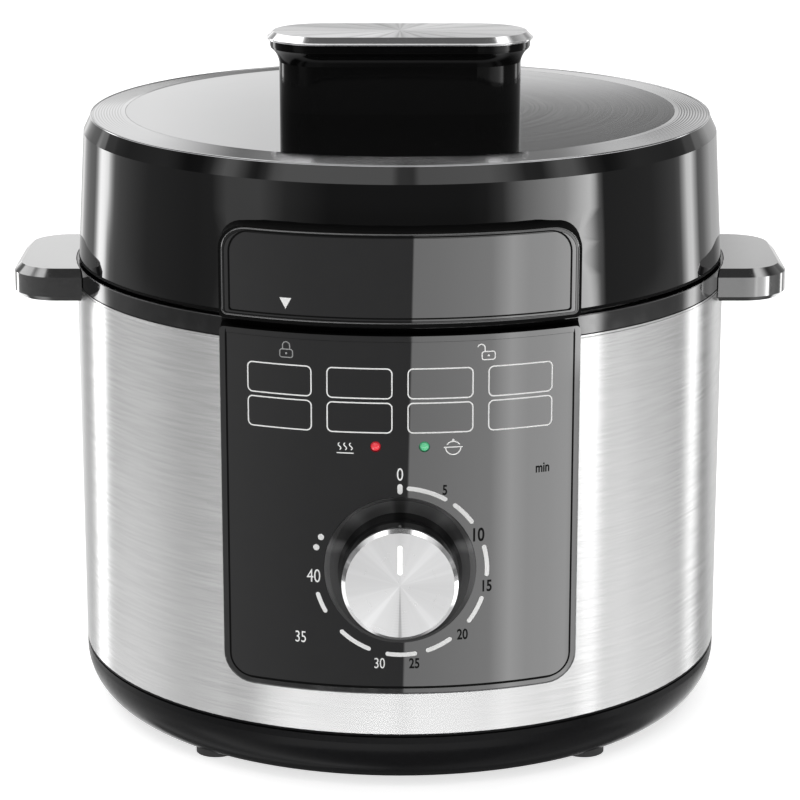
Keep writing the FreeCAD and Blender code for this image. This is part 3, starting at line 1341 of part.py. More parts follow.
def make_lid_cover():
    """The glossy black lid moulding with its front tab, screw posts and openings for valve and float."""
    outside = lathe("lid_outside", [
        (0, lid_foot),
        (lid_foot_radius, lid_foot),
        (lid_shoulder_radius, lid_shoulder),
        (lid_ring_radius, lid_ring),
        (disc_radius + s.bond, lid_top),
        (disc_radius + s.bond, deck),
        (0, deck),
    ])
    inside = lathe("lid_inside", [
        (0, lid_foot - BEYOND),
        (lid_foot_radius - s.lid_wall, lid_foot - BEYOND),
        (lid_foot_radius - s.lid_wall, lid_foot),
        (lid_shoulder_radius - s.lid_wall, lid_shoulder),
        (lid_ring_radius - s.lid_wall - 1, ceiling),
        (0, ceiling),
    ])
    tab = curved_plate("tab_blank", ring_inner_radius, panel_radius, tab_outline(0), lid_foot, tab_top)
    recess = curved_plate("tab_recess", plate_back, panel_radius + OVERLAP, tab_outline(s.tab_border),
                          lid_foot, tab_top)
    hollow = curved_plate("tab_hollow", collar_radius, frame_back, tab_outline(s.lid_wall),
                          lid_foot, tab_top)
    hollow_shell = cut("lid_hollow", fuse("lid_blank", outside, tab), inside, recess, hollow)
    posts = [drum(f"lid_post_{index}", s.post_radius, dome_top, ceiling + OVERLAP, x, y)
             for index, (x, y) in enumerate(post_places())]
    holes = [drum(f"lid_post_hole_{index}", s.screw_radius + s.screw_fit, dome_top - OVERLAP,
                  dome_top + s.post_depth, x, y) for index, (x, y) in enumerate(post_places())]
    holes += [drum(f"lid_handle_hole_{index}", s.screw_radius + s.screw_fit, ceiling - OVERLAP,
                   deck + OVERLAP, x, y) for index, (x, y) in enumerate(handle_screw_places())]
    holes.append(drum("lid_valve_hole", s.valve_radius + s.valve_clear, ceiling - OVERLAP,
                      deck + OVERLAP, 0, s.valve_back))
    holes.append(drum("lid_float_hole", s.float_radius + s.valve_clear, ceiling - OVERLAP,
                      deck + OVERLAP, s.float_side, s.float_back))
    return node("lid_cover", cut("lid_cover", fuse("lid_with_posts", hollow_shell, *posts), *holes))


def make_lid_disc():
    """The polished steel disc on the lid."""
    disc = drum("disc_blank", disc_radius, deck, lid_top)
    tools = [drum(f"disc_boss_hole_{index}", s.handle_boss + s.bond, deck - OVERLAP, lid_top + OVERLAP, x, y)
             for index, (x, y) in enumerate(handle_screw_places())]
    tools.append(drum("disc_valve_hole", s.valve_radius + s.valve_clear, deck - OVERLAP,
                      lid_top + OVERLAP, 0, s.valve_back))
    tools.append(drum("disc_float_hole", s.float_radius + s.valve_clear, deck - OVERLAP,
                      lid_top + OVERLAP, s.float_side, s.float_back))
    return node("lid_disc", cut("lid_disc", disc, *tools))


def make_lid_tab_plate():
    plate = curved_plate("tab_plate_blank", plate_back, plate_face, tab_outline(s.tab_border + s.bond),
                         lid_foot, tab_top)
    return node("lid_tab_plate", plate)


def oblong(half_x, half_y, corner):
    return box_outline(-half_x, half_x, -half_y, half_y, corner)


def make_lid_handle():
    """The hollow black handle: an upright neck and a flare that is swept round its top."""
    body = new_body("handle_moulding")
    neck = draw_outline(new_sketch(body, "XY_Plane", lid_top),
                        oblong(s.neck_half_x, s.neck_half_y, s.neck_corner))
    add_pad(body, neck, flare_top - lid_top)
    path = draw_outline(new_sketch(body, "XY_Plane", neck_top),
                        oblong(s.neck_half_x, s.neck_half_y, s.neck_corner))
    profile = draw_outline(new_sketch(body, "XZ_Plane", 0), [
        (s.neck_half_x - OVERLAP, neck_top),
        (s.neck_half_x, neck_top),
        (s.neck_half_x + s.flare_reach, flare_top - s.flare_lip, s.flare_round),
        (s.neck_half_x + s.flare_reach, flare_top),
        (s.neck_half_x - OVERLAP, flare_top),
    ])
    flare = body.newObject("PartDesign::AdditivePipe", "handle_flare")
    flare.Profile = profile
    flare.Spine = (path, [f"Edge{index}" for index in range(1, 9)])
    hollow = draw_outline(new_sketch(body, "XY_Plane", flare_top - s.handle_wall), oblong(
        s.neck_half_x - s.handle_wall, s.neck_half_y - s.handle_wall, s.neck_corner - s.handle_wall))
    add_pocket(body, hollow, flare_top - s.handle_wall - lid_top)
    bosses = [drum(f"handle_boss_{index}", s.handle_boss, deck, flare_top - OVERLAP, x, y)
              for index, (x, y) in enumerate(handle_screw_places())]
    holes = [drum(f"handle_boss_hole_{index}", s.screw_radius + s.screw_fit, deck - OVERLAP,
                  deck + s.post_depth, x, y) for index, (x, y) in enumerate(handle_screw_places())]
    return node("lid_handle", cut("lid_handle", fuse("handle_with_bosses", body, *bosses), *holes))


def make_handle_rim():
    """The thin glossy rim under the cap."""
    inset = s.rim_inset
    return node("handle_rim", prism("handle_rim", "XY_Plane", oblong(
        s.cap_half_x - inset, s.cap_half_y - inset, s.cap_corner - inset), flare_top, s.rim_height))


def make_handle_cap():
    """The metal cap on the handle, with a bevelled upper edge."""
    body = prism("handle_cap", "XY_Plane", oblong(s.cap_half_x, s.cap_half_y, s.cap_corner),
                 rim_top, s.cap_thickness)
    DOC.recompute()
    bevel = body.newObject("PartDesign::Chamfer", "cap_bevel")
    bevel.Base = (bevel.BaseFeature, edges_at(body.Shape, number(cap_top), -number(s.cap_half_x) * 2))
    tie(bevel, Size=s.cap_bevel)
    return node("handle_cap", body)


def make_handle_screws():
    length = s.lid_roof + s.post_depth - 2
    screws = [upright_screw(f"handle_screw_{index}", x, y, ceiling, length, head_up=False)
              for index, (x, y) in enumerate(handle_screw_places())]
    return node("handle_screws", group("handle_screws", *screws))


def make_inner_lid():
    """The steel inner lid: raised middle, skirt and bayonet lugs."""
    body = lathe("pan_wall", [
        (0, dome_foot),
        (s.dome_radius, dome_foot),
        (s.dome_radius + s.dome_slope, pan_top - s.pan_wall),
        (pan_radius - s.pan_wall, pan_top - s.pan_wall),
        (pan_radius - s.pan_wall, pan_foot),
        (pan_radius, pan_foot),
        (pan_radius, pan_top),
        (s.dome_radius + s.dome_slope, pan_top),
        (s.dome_radius, dome_top),
        (0, dome_top),
    ])
    sketch = new_sketch(body, "XY_Plane", pan_foot)
    lug = add_pad(body, draw_outline(sketch, sector_outline(
        pan_radius - s.pan_wall / 2, pan_radius + s.pan_lug_reach, s.pan_lug_angle / 2)),
        s.pan_lug_height)
    repeat_round(body, lug, s.lug_count)
    tools = [drum(f"pan_post_hole_{index}", s.screw_radius + s.screw_fit, dome_foot - OVERLAP,
                  dome_top + OVERLAP, x, y) for index, (x, y) in enumerate(post_places())]
    tools.append(drum("pan_vent_hole", s.vent_radius + s.screw_fit, dome_foot - OVERLAP,
                      dome_top + OVERLAP, 0, s.valve_back))
    tools.append(drum("pan_float_hole", s.float_bush + s.screw_fit, dome_foot - OVERLAP,
                      dome_top + OVERLAP, s.float_side, s.float_back))
    return node("inner_lid", cut("inner_lid", body, *tools))


def make_inner_lid_screws():
    length = s.pan_wall + s.post_depth - 2
    screws = [upright_screw(f"inner_lid_screw_{index}", x, y, dome_foot, length, head_up=False)
              for index, (x, y) in enumerate(post_places())]
    return node("inner_lid_screws", group("inner_lid_screws", *screws))


def make_sealing_ring():
    """The silicone ring between the cooking pot's lip and the inner lid: a channel with two lips."""
    outside = pan_radius - s.pan_wall - s.slip
    inside = outside - s.seal_width
    low = lip_top + s.slip
    high = pan_top - s.pan_wall - s.slip
    return node("sealing_ring", lathe("sealing_ring", [
        (inside + 1, low),
        (outside, low),
        (outside, high),
        (inside, high),
        (inside, high - s.seal_lip),
        (outside - s.seal_lip, high - s.seal_lip),
        (outside - s.seal_lip, low + s.seal_lip),
        (inside + 1, low + s.seal_lip),
    ]))


def make_seal_carrier():
    """The pressed ring on the inner lid whose edge keeps the seal's upper lip in place."""
    seal_inside = pan_radius - s.pan_wall - s.slip - s.seal_width
    wall = seal_inside - s.slip
    high = pan_top - s.pan_wall
    edge_top = high - s.slip - s.seal_lip - s.slip
    return node("seal_carrier", lathe("seal_carrier", [
        (wall - 1, edge_top - 1),
        (seal_inside + 2, edge_top - 1),
        (seal_inside + 2, edge_top),
        (wall, edge_top),
        (wall, high),
        (wall - 1, high),
    ]))


def make_vent():
    """The steam pipe through the inner lid, its nut, and the guard that keeps food out of it."""
    flange = drum("vent_flange", s.vent_radius + s.vent_flange, dome_top, dome_top + s.vent_flange,
                  0, s.valve_back)
    pipe = drum("vent_tube", s.vent_radius, dome_foot - s.nut_height - 1, lid_top + s.vent_rise,
                0, s.valve_back)
    bore = drum("vent_bore", s.vent_bore, dome_foot - s.nut_height - 1 - OVERLAP,
                lid_top + s.vent_rise + OVERLAP, 0, s.valve_back)
    vent = cut("vent_pipe", fuse("vent_blank", flange, pipe), bore)
    nut_corners = [at_angle(s.nut_radius, angle) for angle in range(0, 360, 60)]
    nut_blank = prism("nut_blank", "XY_Plane", nut_corners, dome_foot - s.nut_height, s.nut_height)
    tie(nut_blank, Placement__Base__y=s.valve_back)
    nut_hole = drum("nut_hole", s.vent_radius + s.screw_fit, dome_foot - s.nut_height - OVERLAP,
                    dome_foot + OVERLAP, 0, s.valve_back)
    guard_low = dome_foot - s.guard_depth
    inside = s.guard_radius - s.guard_wall
    guard = lathe("guard_cup", [
        (0, guard_low),
        (s.guard_radius, guard_low),
        (s.guard_radius, dome_foot),
        (inside, dome_foot),
        (inside, guard_low + s.guard_wall),
        (0, guard_low + s.guard_wall),
    ])
    tie(guard, Placement__Base__y=s.valve_back)
    slot_low, slot_high = guard_low + s.guard_wall * 2, dome_foot - s.guard_wall * 2
    tools = []
    for index in range(6):
        angle = 60 * index
        slot = turned_block(f"guard_slot_{index}", angle, inside - 2, s.guard_radius + 2, s.guard_wall,
                            slot_low, slot_high)
        x, y = at_angle(inside - 2, angle)
        seat(slot, x + s.guard_wall * sine(angle), s.valve_back + y - s.guard_wall * cosine(angle),
             slot_low, slot.Placement.Rotation)
        tools.append(slot)
    return [node("vent_pipe", vent), node("vent_nut", cut("vent_nut", nut_blank, nut_hole)),
            node("block_guard", cut("block_guard", guard, *tools))]


def make_valve():
    """The pressure valve: a weight over the steam pipe inside a plastic cap."""
    cap_foot = lid_top + s.valve_rise
    top = cap_foot + s.valve_height
    wall = s.handle_wall - 1
    cap = lathe("valve_cap", [
        (s.valve_radius - wall, cap_foot),
        (s.valve_radius, cap_foot),
        (s.valve_radius, top - s.valve_round),
        (s.valve_radius - s.valve_round, top, s.valve_round),
        (0, top),
        (0, top - s.handle_wall),
        (s.valve_radius - wall, top - s.handle_wall),
    ])
    tie(cap, Placement__Base__y=s.valve_back)
    outside = s.valve_radius - wall - s.bond
    bore = s.vent_radius + s.running
    weight = lathe("valve_weight", [
        (bore, cap_foot + 1),
        (outside, cap_foot + 1),
        (outside, top - s.handle_wall - s.bond),
        (0, top - s.handle_wall - s.bond),
        (0, lid_top + s.vent_rise + s.slip),
        (bore, lid_top + s.vent_rise + s.slip),
    ])
    tie(weight, Placement__Base__y=s.valve_back)
    return [node("valve_weight", weight), node("valve_cap", cap)]


def make_float():
    """The float that rises under pressure: a bush in the inner lid, the pin and its small seal."""
    low, high = dome_foot - s.bush_drop, dome_top + s.bush_rise
    bore = s.float_radius + s.running
    bush = lathe("float_bush", [
        (bore, low),
        (s.float_bush, low),
        (s.float_bush, dome_top),
        (s.float_bush + s.bush_drop, dome_top),
        (s.float_bush + s.bush_drop, high),
        (bore, high),
    ])
    gasket_top = low - s.float_travel - s.slip
    gasket_low = gasket_top - s.float_head
    pin = lathe("float_pin", [
        (0, gasket_low - s.float_head),
        (s.float_bush, gasket_low - s.float_head),
        (s.float_bush, gasket_low),
        (s.float_radius, gasket_low),
        (s.float_radius, deck - s.float_sink),
        (0, deck - s.float_sink),
    ])
    gasket = lathe("float_gasket", [
        (s.float_radius, gasket_low),
        (s.float_bush, gasket_low),
        (s.float_bush - 0.5, gasket_top),
        (s.float_radius, gasket_top),
    ])
    for body in (bush, pin, gasket):
        tie(body, Placement__Base__x=s.float_side, Placement__Base__y=s.float_back)
    return [node("float_bush", bush), node("float_pin", pin), node("float_gasket", gasket)]


# ---------------------------------------------------------------- back of the body

def cup_screw_places():
    """Sideways distance and height of each screw that holds the cup's bracket."""
    middle = cup_height + s.cup_tall / 2
    return [(-s.cup_screw_side, middle), (s.cup_screw_side, middle)]


def make_power_inlet():
    """The appliance inlet: a socket body through the shell and a flange outside it."""
    near = inlet_reach - s.inlet_depth - s.inlet_wall
    low, high = s.inlet_height - s.inlet_half_z, s.inlet_height + s.inlet_half_z
    core = block("inlet_core", (-s.inlet_half_x, s.inlet_half_x), (near, inlet_reach), (low, high))
    flange_x = s.inlet_half_x + s.inlet_flange_x
    flange = block("inlet_flange", (-flange_x, flange_x), (bore_outside, inlet_reach),
                   (low - s.inlet_flange_z, high + s.inlet_flange_z))
    curved_seat = drum("inlet_seat", shell_clear, low - BEYOND, high + BEYOND)
    socket = block("inlet_socket", (s.inlet_wall - s.inlet_half_x, s.inlet_half_x - s.inlet_wall),
                   (inlet_reach - s.inlet_depth, inlet_reach + OVERLAP),
                   (low + s.inlet_wall, high - s.inlet_wall))
    tools = [socket]
    for index, (x, z) in enumerate(pin_places()):
        tools.append(pin_block(f"inlet_pin_slot_{index}", x, z, near - OVERLAP, inlet_reach, s.bond))
    for index, x in enumerate((-s.inlet_screw_side, s.inlet_screw_side)):
        tools.append(rear_rod(f"inlet_screw_hole_{index}", s.screw_radius + s.screw_fit, bore_outside,
                              inlet_reach + OVERLAP, x, s.inlet_height))
    blank = fuse("inlet_blank", core, cut("inlet_flange_trim", flange, curved_seat))
    return node("power_inlet", cut("power_inlet", blank, *tools))


def pin_places():
    """The inlet's three pins: two side by side and the earth between and below them."""
    return [(-s.pin_side, s.inlet_height + s.pin_rise), (s.pin_side, s.inlet_height + s.pin_rise),
            (0, s.inlet_height - s.pin_rise)]


def pin_block(label, x, z, near, far, room=0):
    return block(label, (x - s.pin_half_x - room, x + s.pin_half_x + room), (near, far),
                 (z - s.pin_half_z - room, z + s.pin_half_z + room))


def make_inlet_pins():
    near = inlet_reach - s.inlet_depth - s.inlet_wall - s.pin_tail
    pins = [pin_block(f"inlet_pin_{index}", x, z, near, inlet_reach - s.pin_sink)
            for index, (x, z) in enumerate(pin_places())]
    return node("inlet_pins", group("inlet_pins", *pins))


def make_inlet_screws():
    """Two screws from outside. Nuts on their tails hold the flange against the shell."""
    screws = []
    for index, x in enumerate((-s.inlet_screw_side, s.inlet_screw_side)):
        far = inlet_reach + s.screw_cap
        tail = beside(shell_inside, s.inlet_screw_side + s.screw_head) - s.bond
        head = rear_rod(f"inlet_screw_head_{index}", s.screw_head, inlet_reach, far, x, s.inlet_height)
        shank = rear_rod(f"inlet_screw_shank_{index}", s.screw_radius, tail - s.screw_cap * 2,
                         inlet_reach + OVERLAP, x, s.inlet_height)
        nut = rear_rod(f"inlet_screw_nut_{index}", s.screw_head, tail - s.screw_cap, tail, x, s.inlet_height)
        screws.append(fuse(f"inlet_screw_{index}", head, shank, nut))
    return node("inlet_screws", group("inlet_screws", *screws))


def make_cup_bracket():
    """The bracket behind the body: two shelves that carry the condensate cup, and the drain spout."""
    face = cup_front - s.slip
    low = cup_height - s.slip - s.rail
    high = cup_height + s.cup_tall + s.spout_space
    half = s.cup_half + s.slip + s.rail
    back = block("bracket_back", (-half, half), (bore_outside, face), (low, high))
    far = cup_back - s.cup_show
    pieces = [back]
    for side in (-1, 1):
        inner, outer = side * (s.cup_half + s.slip), side * half
        pieces.append(block(f"bracket_side_{side}", (inner, outer) if side > 0 else (outer, inner),
                            (face - OVERLAP, far), (low, cup_height + s.cup_tall / 2)))
        inner = side * (s.cup_half - s.shelf_width)
        pieces.append(block(f"bracket_shelf_{side}", (inner, outer) if side > 0 else (outer, inner),
                            (face - OVERLAP, far), (low, cup_height - s.slip)))
    spout_height = high - s.spout_space / 2
    pieces.append(rear_rod("bracket_spout", s.spout_radius, face - OVERLAP,
                           (cup_front + cup_back) / 2, 0, spout_height))
    tools = [drum("bracket_seat", shell_clear, low - BEYOND, high + BEYOND),
             rear_rod("bracket_drain", s.spout_radius - s.bracket_wall, bore_outside, cup_back, 0,
                      spout_height)]
    for index, (x, z) in enumerate(cup_screw_places()):
        tools.append(rear_rod(f"bracket_screw_hole_{index}", s.screw_radius + s.screw_fit, bore_outside,
                              face - 1, x, z))
    return node("cup_bracket", cut("cup_bracket", fuse("bracket_blank", *pieces), *tools))


def make_cup_screws():
    screws = []
    seat_distance = beside(shell_inside, s.cup_screw_side + s.screw_head) - s.bond
    for index, (x, z) in enumerate(cup_screw_places()):
        head = rear_rod(f"cup_screw_head_{index}", s.screw_head, seat_distance - s.screw_cap,
                        seat_distance, x, z)
        shank = rear_rod(f"cup_screw_shank_{index}", s.screw_radius, seat_distance - OVERLAP,
                         cup_front - s.slip - s.screw_cap, x, z)
        screws.append(fuse(f"cup_screw_{index}", head, shank))
    return node("cup_screws", group("cup_screws", *screws))


def make_condensate_cup():
    """The small cup that catches condensed water. It is open at the top and slides out backwards."""
    wall = s.cup_wall
    corner = s.cup_corner
    body = prism("condensate_cup", "XY_Plane", box_outline(
        -s.cup_half, s.cup_half, cup_front, cup_back, s.panel_top_corner, corner),
        cup_height, s.cup_tall)
    hollow = draw_outline(new_sketch(body, "XY_Plane", cup_height + s.cup_tall), box_outline(
        wall - s.cup_half, s.cup_half - wall, cup_front + wall, cup_back - wall,
        s.panel_top_corner / 2, corner - wall))
    add_pocket(body, hollow, s.cup_tall - wall)
    return node("condensate_cup", body)


# ---------------------------------------------------------------- wiring

def make_terminal_block():
    """The block on the base floor where the wires meet."""
    return node("terminal_block", block(
        "terminal_block", (s.clamp_side, s.clamp_side + s.clamp_wide),
        (s.clamp_back, s.clamp_back + s.clamp_deep), (base_floor, base_floor + s.clamp_tall)))


def wire_through(label, points):
    """A round wire along straight runs joined by tangent arcs as large as the runs allow."""
    places = [FreeCAD.Vector(*(number(c) for c in point)) for point in points]
    edges = []
    here = places[0]
    for before, corner, after in zip(places, places[1:], places[2:]):
        back, ahead = before - corner, after - corner
        reach = 0.45 * min(back.Length, ahead.Length)
        back.normalize()
        ahead.normalize()
        start, end = corner + back * reach, corner + ahead * reach
        half_turn = (back * -1).getAngle(ahead) / 2
        radius = reach / math.tan(half_turn)
        middle = corner + (back + ahead).normalize() * ((radius ** 2 + reach ** 2) ** 0.5 - radius)
        edges.append(Part.LineSegment(here, start).toShape())
        edges.append(Part.Arc(start, middle, end).toShape())
        here = end
    edges.append(Part.LineSegment(here, places[-1]).toShape())
    along = (places[1] - places[0]).normalize()
    section = Part.Wire(Part.makeCircle(number(s.wire_radius), places[0], along))
    wire = DOC.addObject("Part::Feature", label)
    wire.Shape = Part.Wire(edges).makePipeShell([section], True, True)
    wire.Placement = FreeCAD.Placement()
    return wire


def make_wiring():
    """Insulated wires: inlet to block, block to timer, and both to the heating element."""
    step = s.wire_step
    block_middle = base_floor + s.clamp_tall / 2
    block_near = s.clamp_back
    block_far = s.clamp_back + s.clamp_deep
    inner_way = s.clamp_side + s.clamp_wide / 4
    middle_way = s.clamp_side + s.clamp_wide / 2
    outer_way = s.clamp_side + s.clamp_wide * 3 / 4
    pin_end = inlet_reach - s.inlet_depth - s.inlet_wall - s.pin_tail / 2
    pin_low = s.inlet_height + s.pin_rise - s.pin_half_z
    earth_low = s.inlet_height - s.pin_rise - s.pin_half_z
    element_low = s.bore_floor - s.terminal_drop
    right_end, left_end = terminal_places()
    timer_side = s.timer_half_x * 0.6
    timer_low = dial_height - s.timer_half_z
    timer_middle = -(timer_front + timer_back) / 2
    low_run = block_middle - s.wire_radius
    past_bore = -s.bore_hole - step / 4
    wires = [
        wire_through("wire_live_in", [
            (-s.pin_side, pin_end, pin_low), (-s.pin_side, pin_end, pin_low - step),
            (inner_way, block_far + step, block_middle), (inner_way, block_far, block_middle)]),
        wire_through("wire_neutral_in", [
            (s.pin_side, pin_end, pin_low), (s.pin_side, pin_end, pin_low - step),
            (outer_way, block_far + step, block_middle + s.wire_rise),
            (outer_way, block_far, block_middle + s.wire_rise)]),
        wire_through("wire_earth", [
            (0, pin_end, earth_low), (0, pin_end, earth_low - step),
            (middle_way, block_far + step, block_middle - s.wire_rise),
            (middle_way, block_far, block_middle - s.wire_rise)]),
        wire_through("wire_neutral_heater", [
            (s.clamp_side, right_end[1], low_run), (right_end[0], right_end[1], low_run),
            (right_end[0], right_end[1], element_low)]),
        wire_through("wire_live_timer", [
            (outer_way, block_near, low_run), (outer_way, timer_middle + 2 * step, low_run),
            (timer_side, timer_middle, low_run), (timer_side, timer_middle, timer_low)]),
        wire_through("wire_timer_heater", [
            (-timer_side, timer_middle, timer_low), (-timer_side, timer_middle, low_run),
            (past_bore, -s.switch_side, low_run), (past_bore, -step, low_run),
            (left_end[0], left_end[1] - step, low_run),
            (left_end[0], left_end[1], element_low - step / 2),
            (left_end[0], left_end[1], element_low)]),
    ]
    return node("wiring", group("wiring", *wires))


# ---------------------------------------------------------------- whole cooker

def build():
    make_base_shell()
    make_feet()
    make_base_screws()
    make_base_brackets()
    make_steel_shell()
    make_body_ring()
    make_grip("handle_left", -1)
    make_grip("handle_right", 1)
    make_grip_screws()
    make_panel_frame()
    make_control_panel()
    make_panel_screws()
    make_dial_dish()
    for label, side in zip(("lamp_heating", "lamp_warm"), lamp_places()):
        make_lamp(label, side)
    make_lamp_board()
    make_timer_bracket()
    make_timer_screws()
    make_timer_housing()
    make_knob()
    make_outer_pot()
    make_flange_screws()
    make_inner_pot()
    make_heater_plate()
    make_heater_element()
    make_elastic_plate()
    make_pressure_switch()
    make_thermal_cutout()
    make_sensor()
    make_lid_cover()
    make_lid_disc()
    make_lid_tab_plate()
    make_lid_handle()
    make_handle_rim()
    make_handle_cap()
    make_handle_screws()
    make_inner_lid()
    make_inner_lid_screws()
    make_sealing_ring()
    make_seal_carrier()
    make_vent()
    make_valve()
    make_float()
    make_power_inlet()
    make_inlet_pins()
    make_inlet_screws()
    make_cup_bracket()
    make_cup_screws()
    make_condensate_cup()
    make_terminal_block()
    make_wiring()


def check():
    """Stops before anything is written if an object failed or a sub-part is not a sound solid."""
    for item in DOC.Objects:
        if "Invalid" in item.State or "Error" in item.State:
            raise RuntimeError(f"{item.Label} did not recompute: {item.State}")
    for item in NODES:
        if item.Shape.isNull() or not item.Shape.isValid() or not item.Shape.Solids:
            raise RuntimeError(f"{item.Label} is not a valid solid")


def export():
    os.makedirs("parts", exist_ok=True)
    for item in NODES:
        item.Shape.exportStep(f"parts/{item.Label}.step")
        box = item.Shape.BoundBox
        print(f"{item.Label}: {len(item.Shape.Solids)} solids, {item.Shape.Volume / 1000:.1f} cm3, "
              f"z {box.ZMin:.1f} to {box.ZMax:.1f}")


build()
DOC.recompute()
check()
export()
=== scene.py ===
import math

import bpy
import numpy as np
from bpy.props import FloatProperty, FloatVectorProperty, PointerProperty
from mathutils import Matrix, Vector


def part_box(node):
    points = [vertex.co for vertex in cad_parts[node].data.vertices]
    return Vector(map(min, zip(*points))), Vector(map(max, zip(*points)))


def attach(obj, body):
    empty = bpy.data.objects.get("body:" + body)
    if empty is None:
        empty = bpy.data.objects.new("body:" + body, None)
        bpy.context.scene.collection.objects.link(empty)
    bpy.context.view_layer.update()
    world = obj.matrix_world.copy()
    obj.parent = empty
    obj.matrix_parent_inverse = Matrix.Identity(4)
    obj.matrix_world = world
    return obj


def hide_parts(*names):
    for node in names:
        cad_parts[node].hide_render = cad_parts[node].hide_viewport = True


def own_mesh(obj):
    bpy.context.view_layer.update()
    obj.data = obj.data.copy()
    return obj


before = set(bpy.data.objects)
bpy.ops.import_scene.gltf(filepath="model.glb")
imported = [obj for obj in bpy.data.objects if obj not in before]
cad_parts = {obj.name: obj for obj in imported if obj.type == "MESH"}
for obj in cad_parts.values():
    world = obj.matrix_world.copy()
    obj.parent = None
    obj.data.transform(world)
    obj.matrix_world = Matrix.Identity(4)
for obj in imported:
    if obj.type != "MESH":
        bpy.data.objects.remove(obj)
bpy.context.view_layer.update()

bl_info = {
    "name": "Pressure cooker finish",
    "version": (1, 0, 0),
    "blender": (4, 5, 0),
    "location": "3D View > Sidebar > Cooker",
    "description": "Print, finishes and studio for an electric pressure cooker",
    "category": "Object",
}

PANEL_LOW, PANEL_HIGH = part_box("control_panel")
TAB_LOW, TAB_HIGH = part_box("lid_tab_plate")
KNOB_LOW, KNOB_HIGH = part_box("knob_cap")
FRAME_LOW, FRAME_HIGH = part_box("panel_frame")
DIAL_HEIGHT = (KNOB_LOW.z + KNOB_HIGH.z) / 2
PANEL_RADIUS = -PANEL_LOW.y
TAB_RADIUS = -TAB_LOW.y
FRAME_RADIUS = -FRAME_LOW.y
TAB_HALF = FRAME_HIGH.x
TAB_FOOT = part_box("lid_cover")[0].z
TAB_HEAD = TAB_HIGH.z + TAB_LOW.z - TAB_FOOT

MM = 0.001
TAB_SIDE = 1.3 * MM             # how far the tab's edge is drawn in at each side
# THIN and FRAME_BACK place the sheets of painted shade round the tab and panel.
THIN = 0.04 * MM                # how far the dark gaps stand off what they lie on
FRAME_BACK = 133.5 * MM         # radius at which the gap behind the tab ends
SPRING_WIRE = 1.0 * MM
SPRING_TURNS = 6
SPRING_STEPS = 48               # points of one turn of the spring
RING_STEPS = 360                # points of a circle round the cooker
BEAD_SIDES = 10                 # sides of a rounded edge's own circle
LETTER_WIDTH = 0.74             # of the font's own width, at the same height
DECK_GROOVES = 1.15 * MM        # from one groove of the lid's plated ring to the next
DECK_EDGE = (0.1296, 0.1300)    # radii between which the plated ring ends
DECK_START = (0.1170, 0.1178)   # radii between which its grooves begin
DECK_HEIGHT = (0.2529, 0.2531)  # heights between which its plating begins
CAP_LINES = 1.1 * MM            # from one turned line of a silver cap to the next
FLOOR_DROP = 0.1 * MM
FLOOR_CELLS = 8
FLOOR_LIFT = 0.7                # light that the floor adds for the camera alone
VIEW_END = 50                   # metres up to which the camera sees
BRIGHTEST = 6.0                 # the studio's highest possible level
LEAN = 0.45                     # degrees that a front card moves right for each degree
LEAN_START, LEAN_SPAN = -21.0, 9.0

# Rounded boxes, in millimetres: left and foot, right and head, and the radius of the
# lower corners and of the upper ones. The cap's is seen from above, the rest from
# the front.
CAP_BOX = (-55.55, -23.95, 55.55, 23.95, 23.35)
PANEL_BOX = (-69.85, 45.05, 69.85, 189.7, 11.4, 1.9)
PLATE_BOX = (-66.2, 196.4, 66.2, 228.7, 1.0, 9.0)
TAB_CORNERS = (1.9, 9.9)

# Edges and gaps, in millimetres. An edge that goes round the cooker has the radius
# and height of its middle line. A gap is a band of painted shade.
LID_EDGE, RING_EDGE, SHELL_EDGE = (129.95, 252.95), (137.27, 191.67), (137.35, 182.7)
CAP_EDGE_HEIGHT = 283.75
PANEL_EDGE_HEAD = 56.0                      # the panel's edge is rounded below this
LID_GAP_SHADE = (136.3, 193.3, 194.4, 0.25)       # radius, foot, head, thickness
RING_GAP_SHADE = (137.4, 183.75, 184.2, 0.14)


def mm(*values):
    """Lengths given in millimetres, in metres."""
    return [value * MM for value in values]


# ---------------------------------------------------------------- settings

def colour_of(name, text, default):
    """A colour that a user may change."""
    return FloatVectorProperty(name=name, description=text, subtype="COLOR", size=3,
                               min=0, max=1, default=default)


def length_of(name, text, default, low, high):
    """A length that a user may change, given in millimetres."""
    return FloatProperty(name=name, description=text, unit="LENGTH",
                         default=default * MM, min=low * MM, max=high * MM)


class PrintSettings(bpy.types.PropertyGroup):
    """Sizes and colours of the marks and edges, and the size of the grooves' painted
    shade.
    """
    ink: colour_of("Ink", "Colour of the printed marks", (0.97, 0.97, 0.96))
    dim_ink: colour_of("Dim ink", "Colour of the closed padlock", (0.36, 0.36, 0.36))
    dark_ink: colour_of("Dark ink", "Colour of the figures right of the dial",
                        (0.002, 0.002, 0.002))
    thickness: length_of("Ink thickness", "How far the ink stands off the plate",
                         0.05, 0.01, 0.3)
    figure_height: length_of("Figure height", "Height of the dial's figures", 4.3, 2, 7)
    scale_radius: length_of("Scale radius", "Radius of the arcs round the dial",
                            34.1, 31, 40)
    scale_width: length_of("Scale width", "Width of the arcs round the dial",
                           1.75, 0.5, 3)
    outline_width: length_of("Outline width", "Line width of the programme boxes",
                             0.5, 0.2, 1)
    outline_corner: length_of("Outline corner", "Corner radius of the programme boxes",
                              2.0, 0.5, 5)
    symbol_width: length_of("Symbol width", "Line width of the small symbols",
                            0.42, 0.2, 1)
    edge_radius: length_of("Edge radius", "Rounding of the panel's and tab's edges",
                           0.3, 0.1, 1)
    # the width of the painted shade in the grooves round the plates
    groove_shade_width: length_of("Groove width", "Groove between the plates and frames",
                            0.5, 0.1, 1)
    pointer_length: length_of("Pointer length", "Length of the knob's pointer line",
                              12.0, 4, 20)
    pointer_width: length_of("Pointer width", "Width of the knob's pointer line",
                             2.1, 0.5, 4)


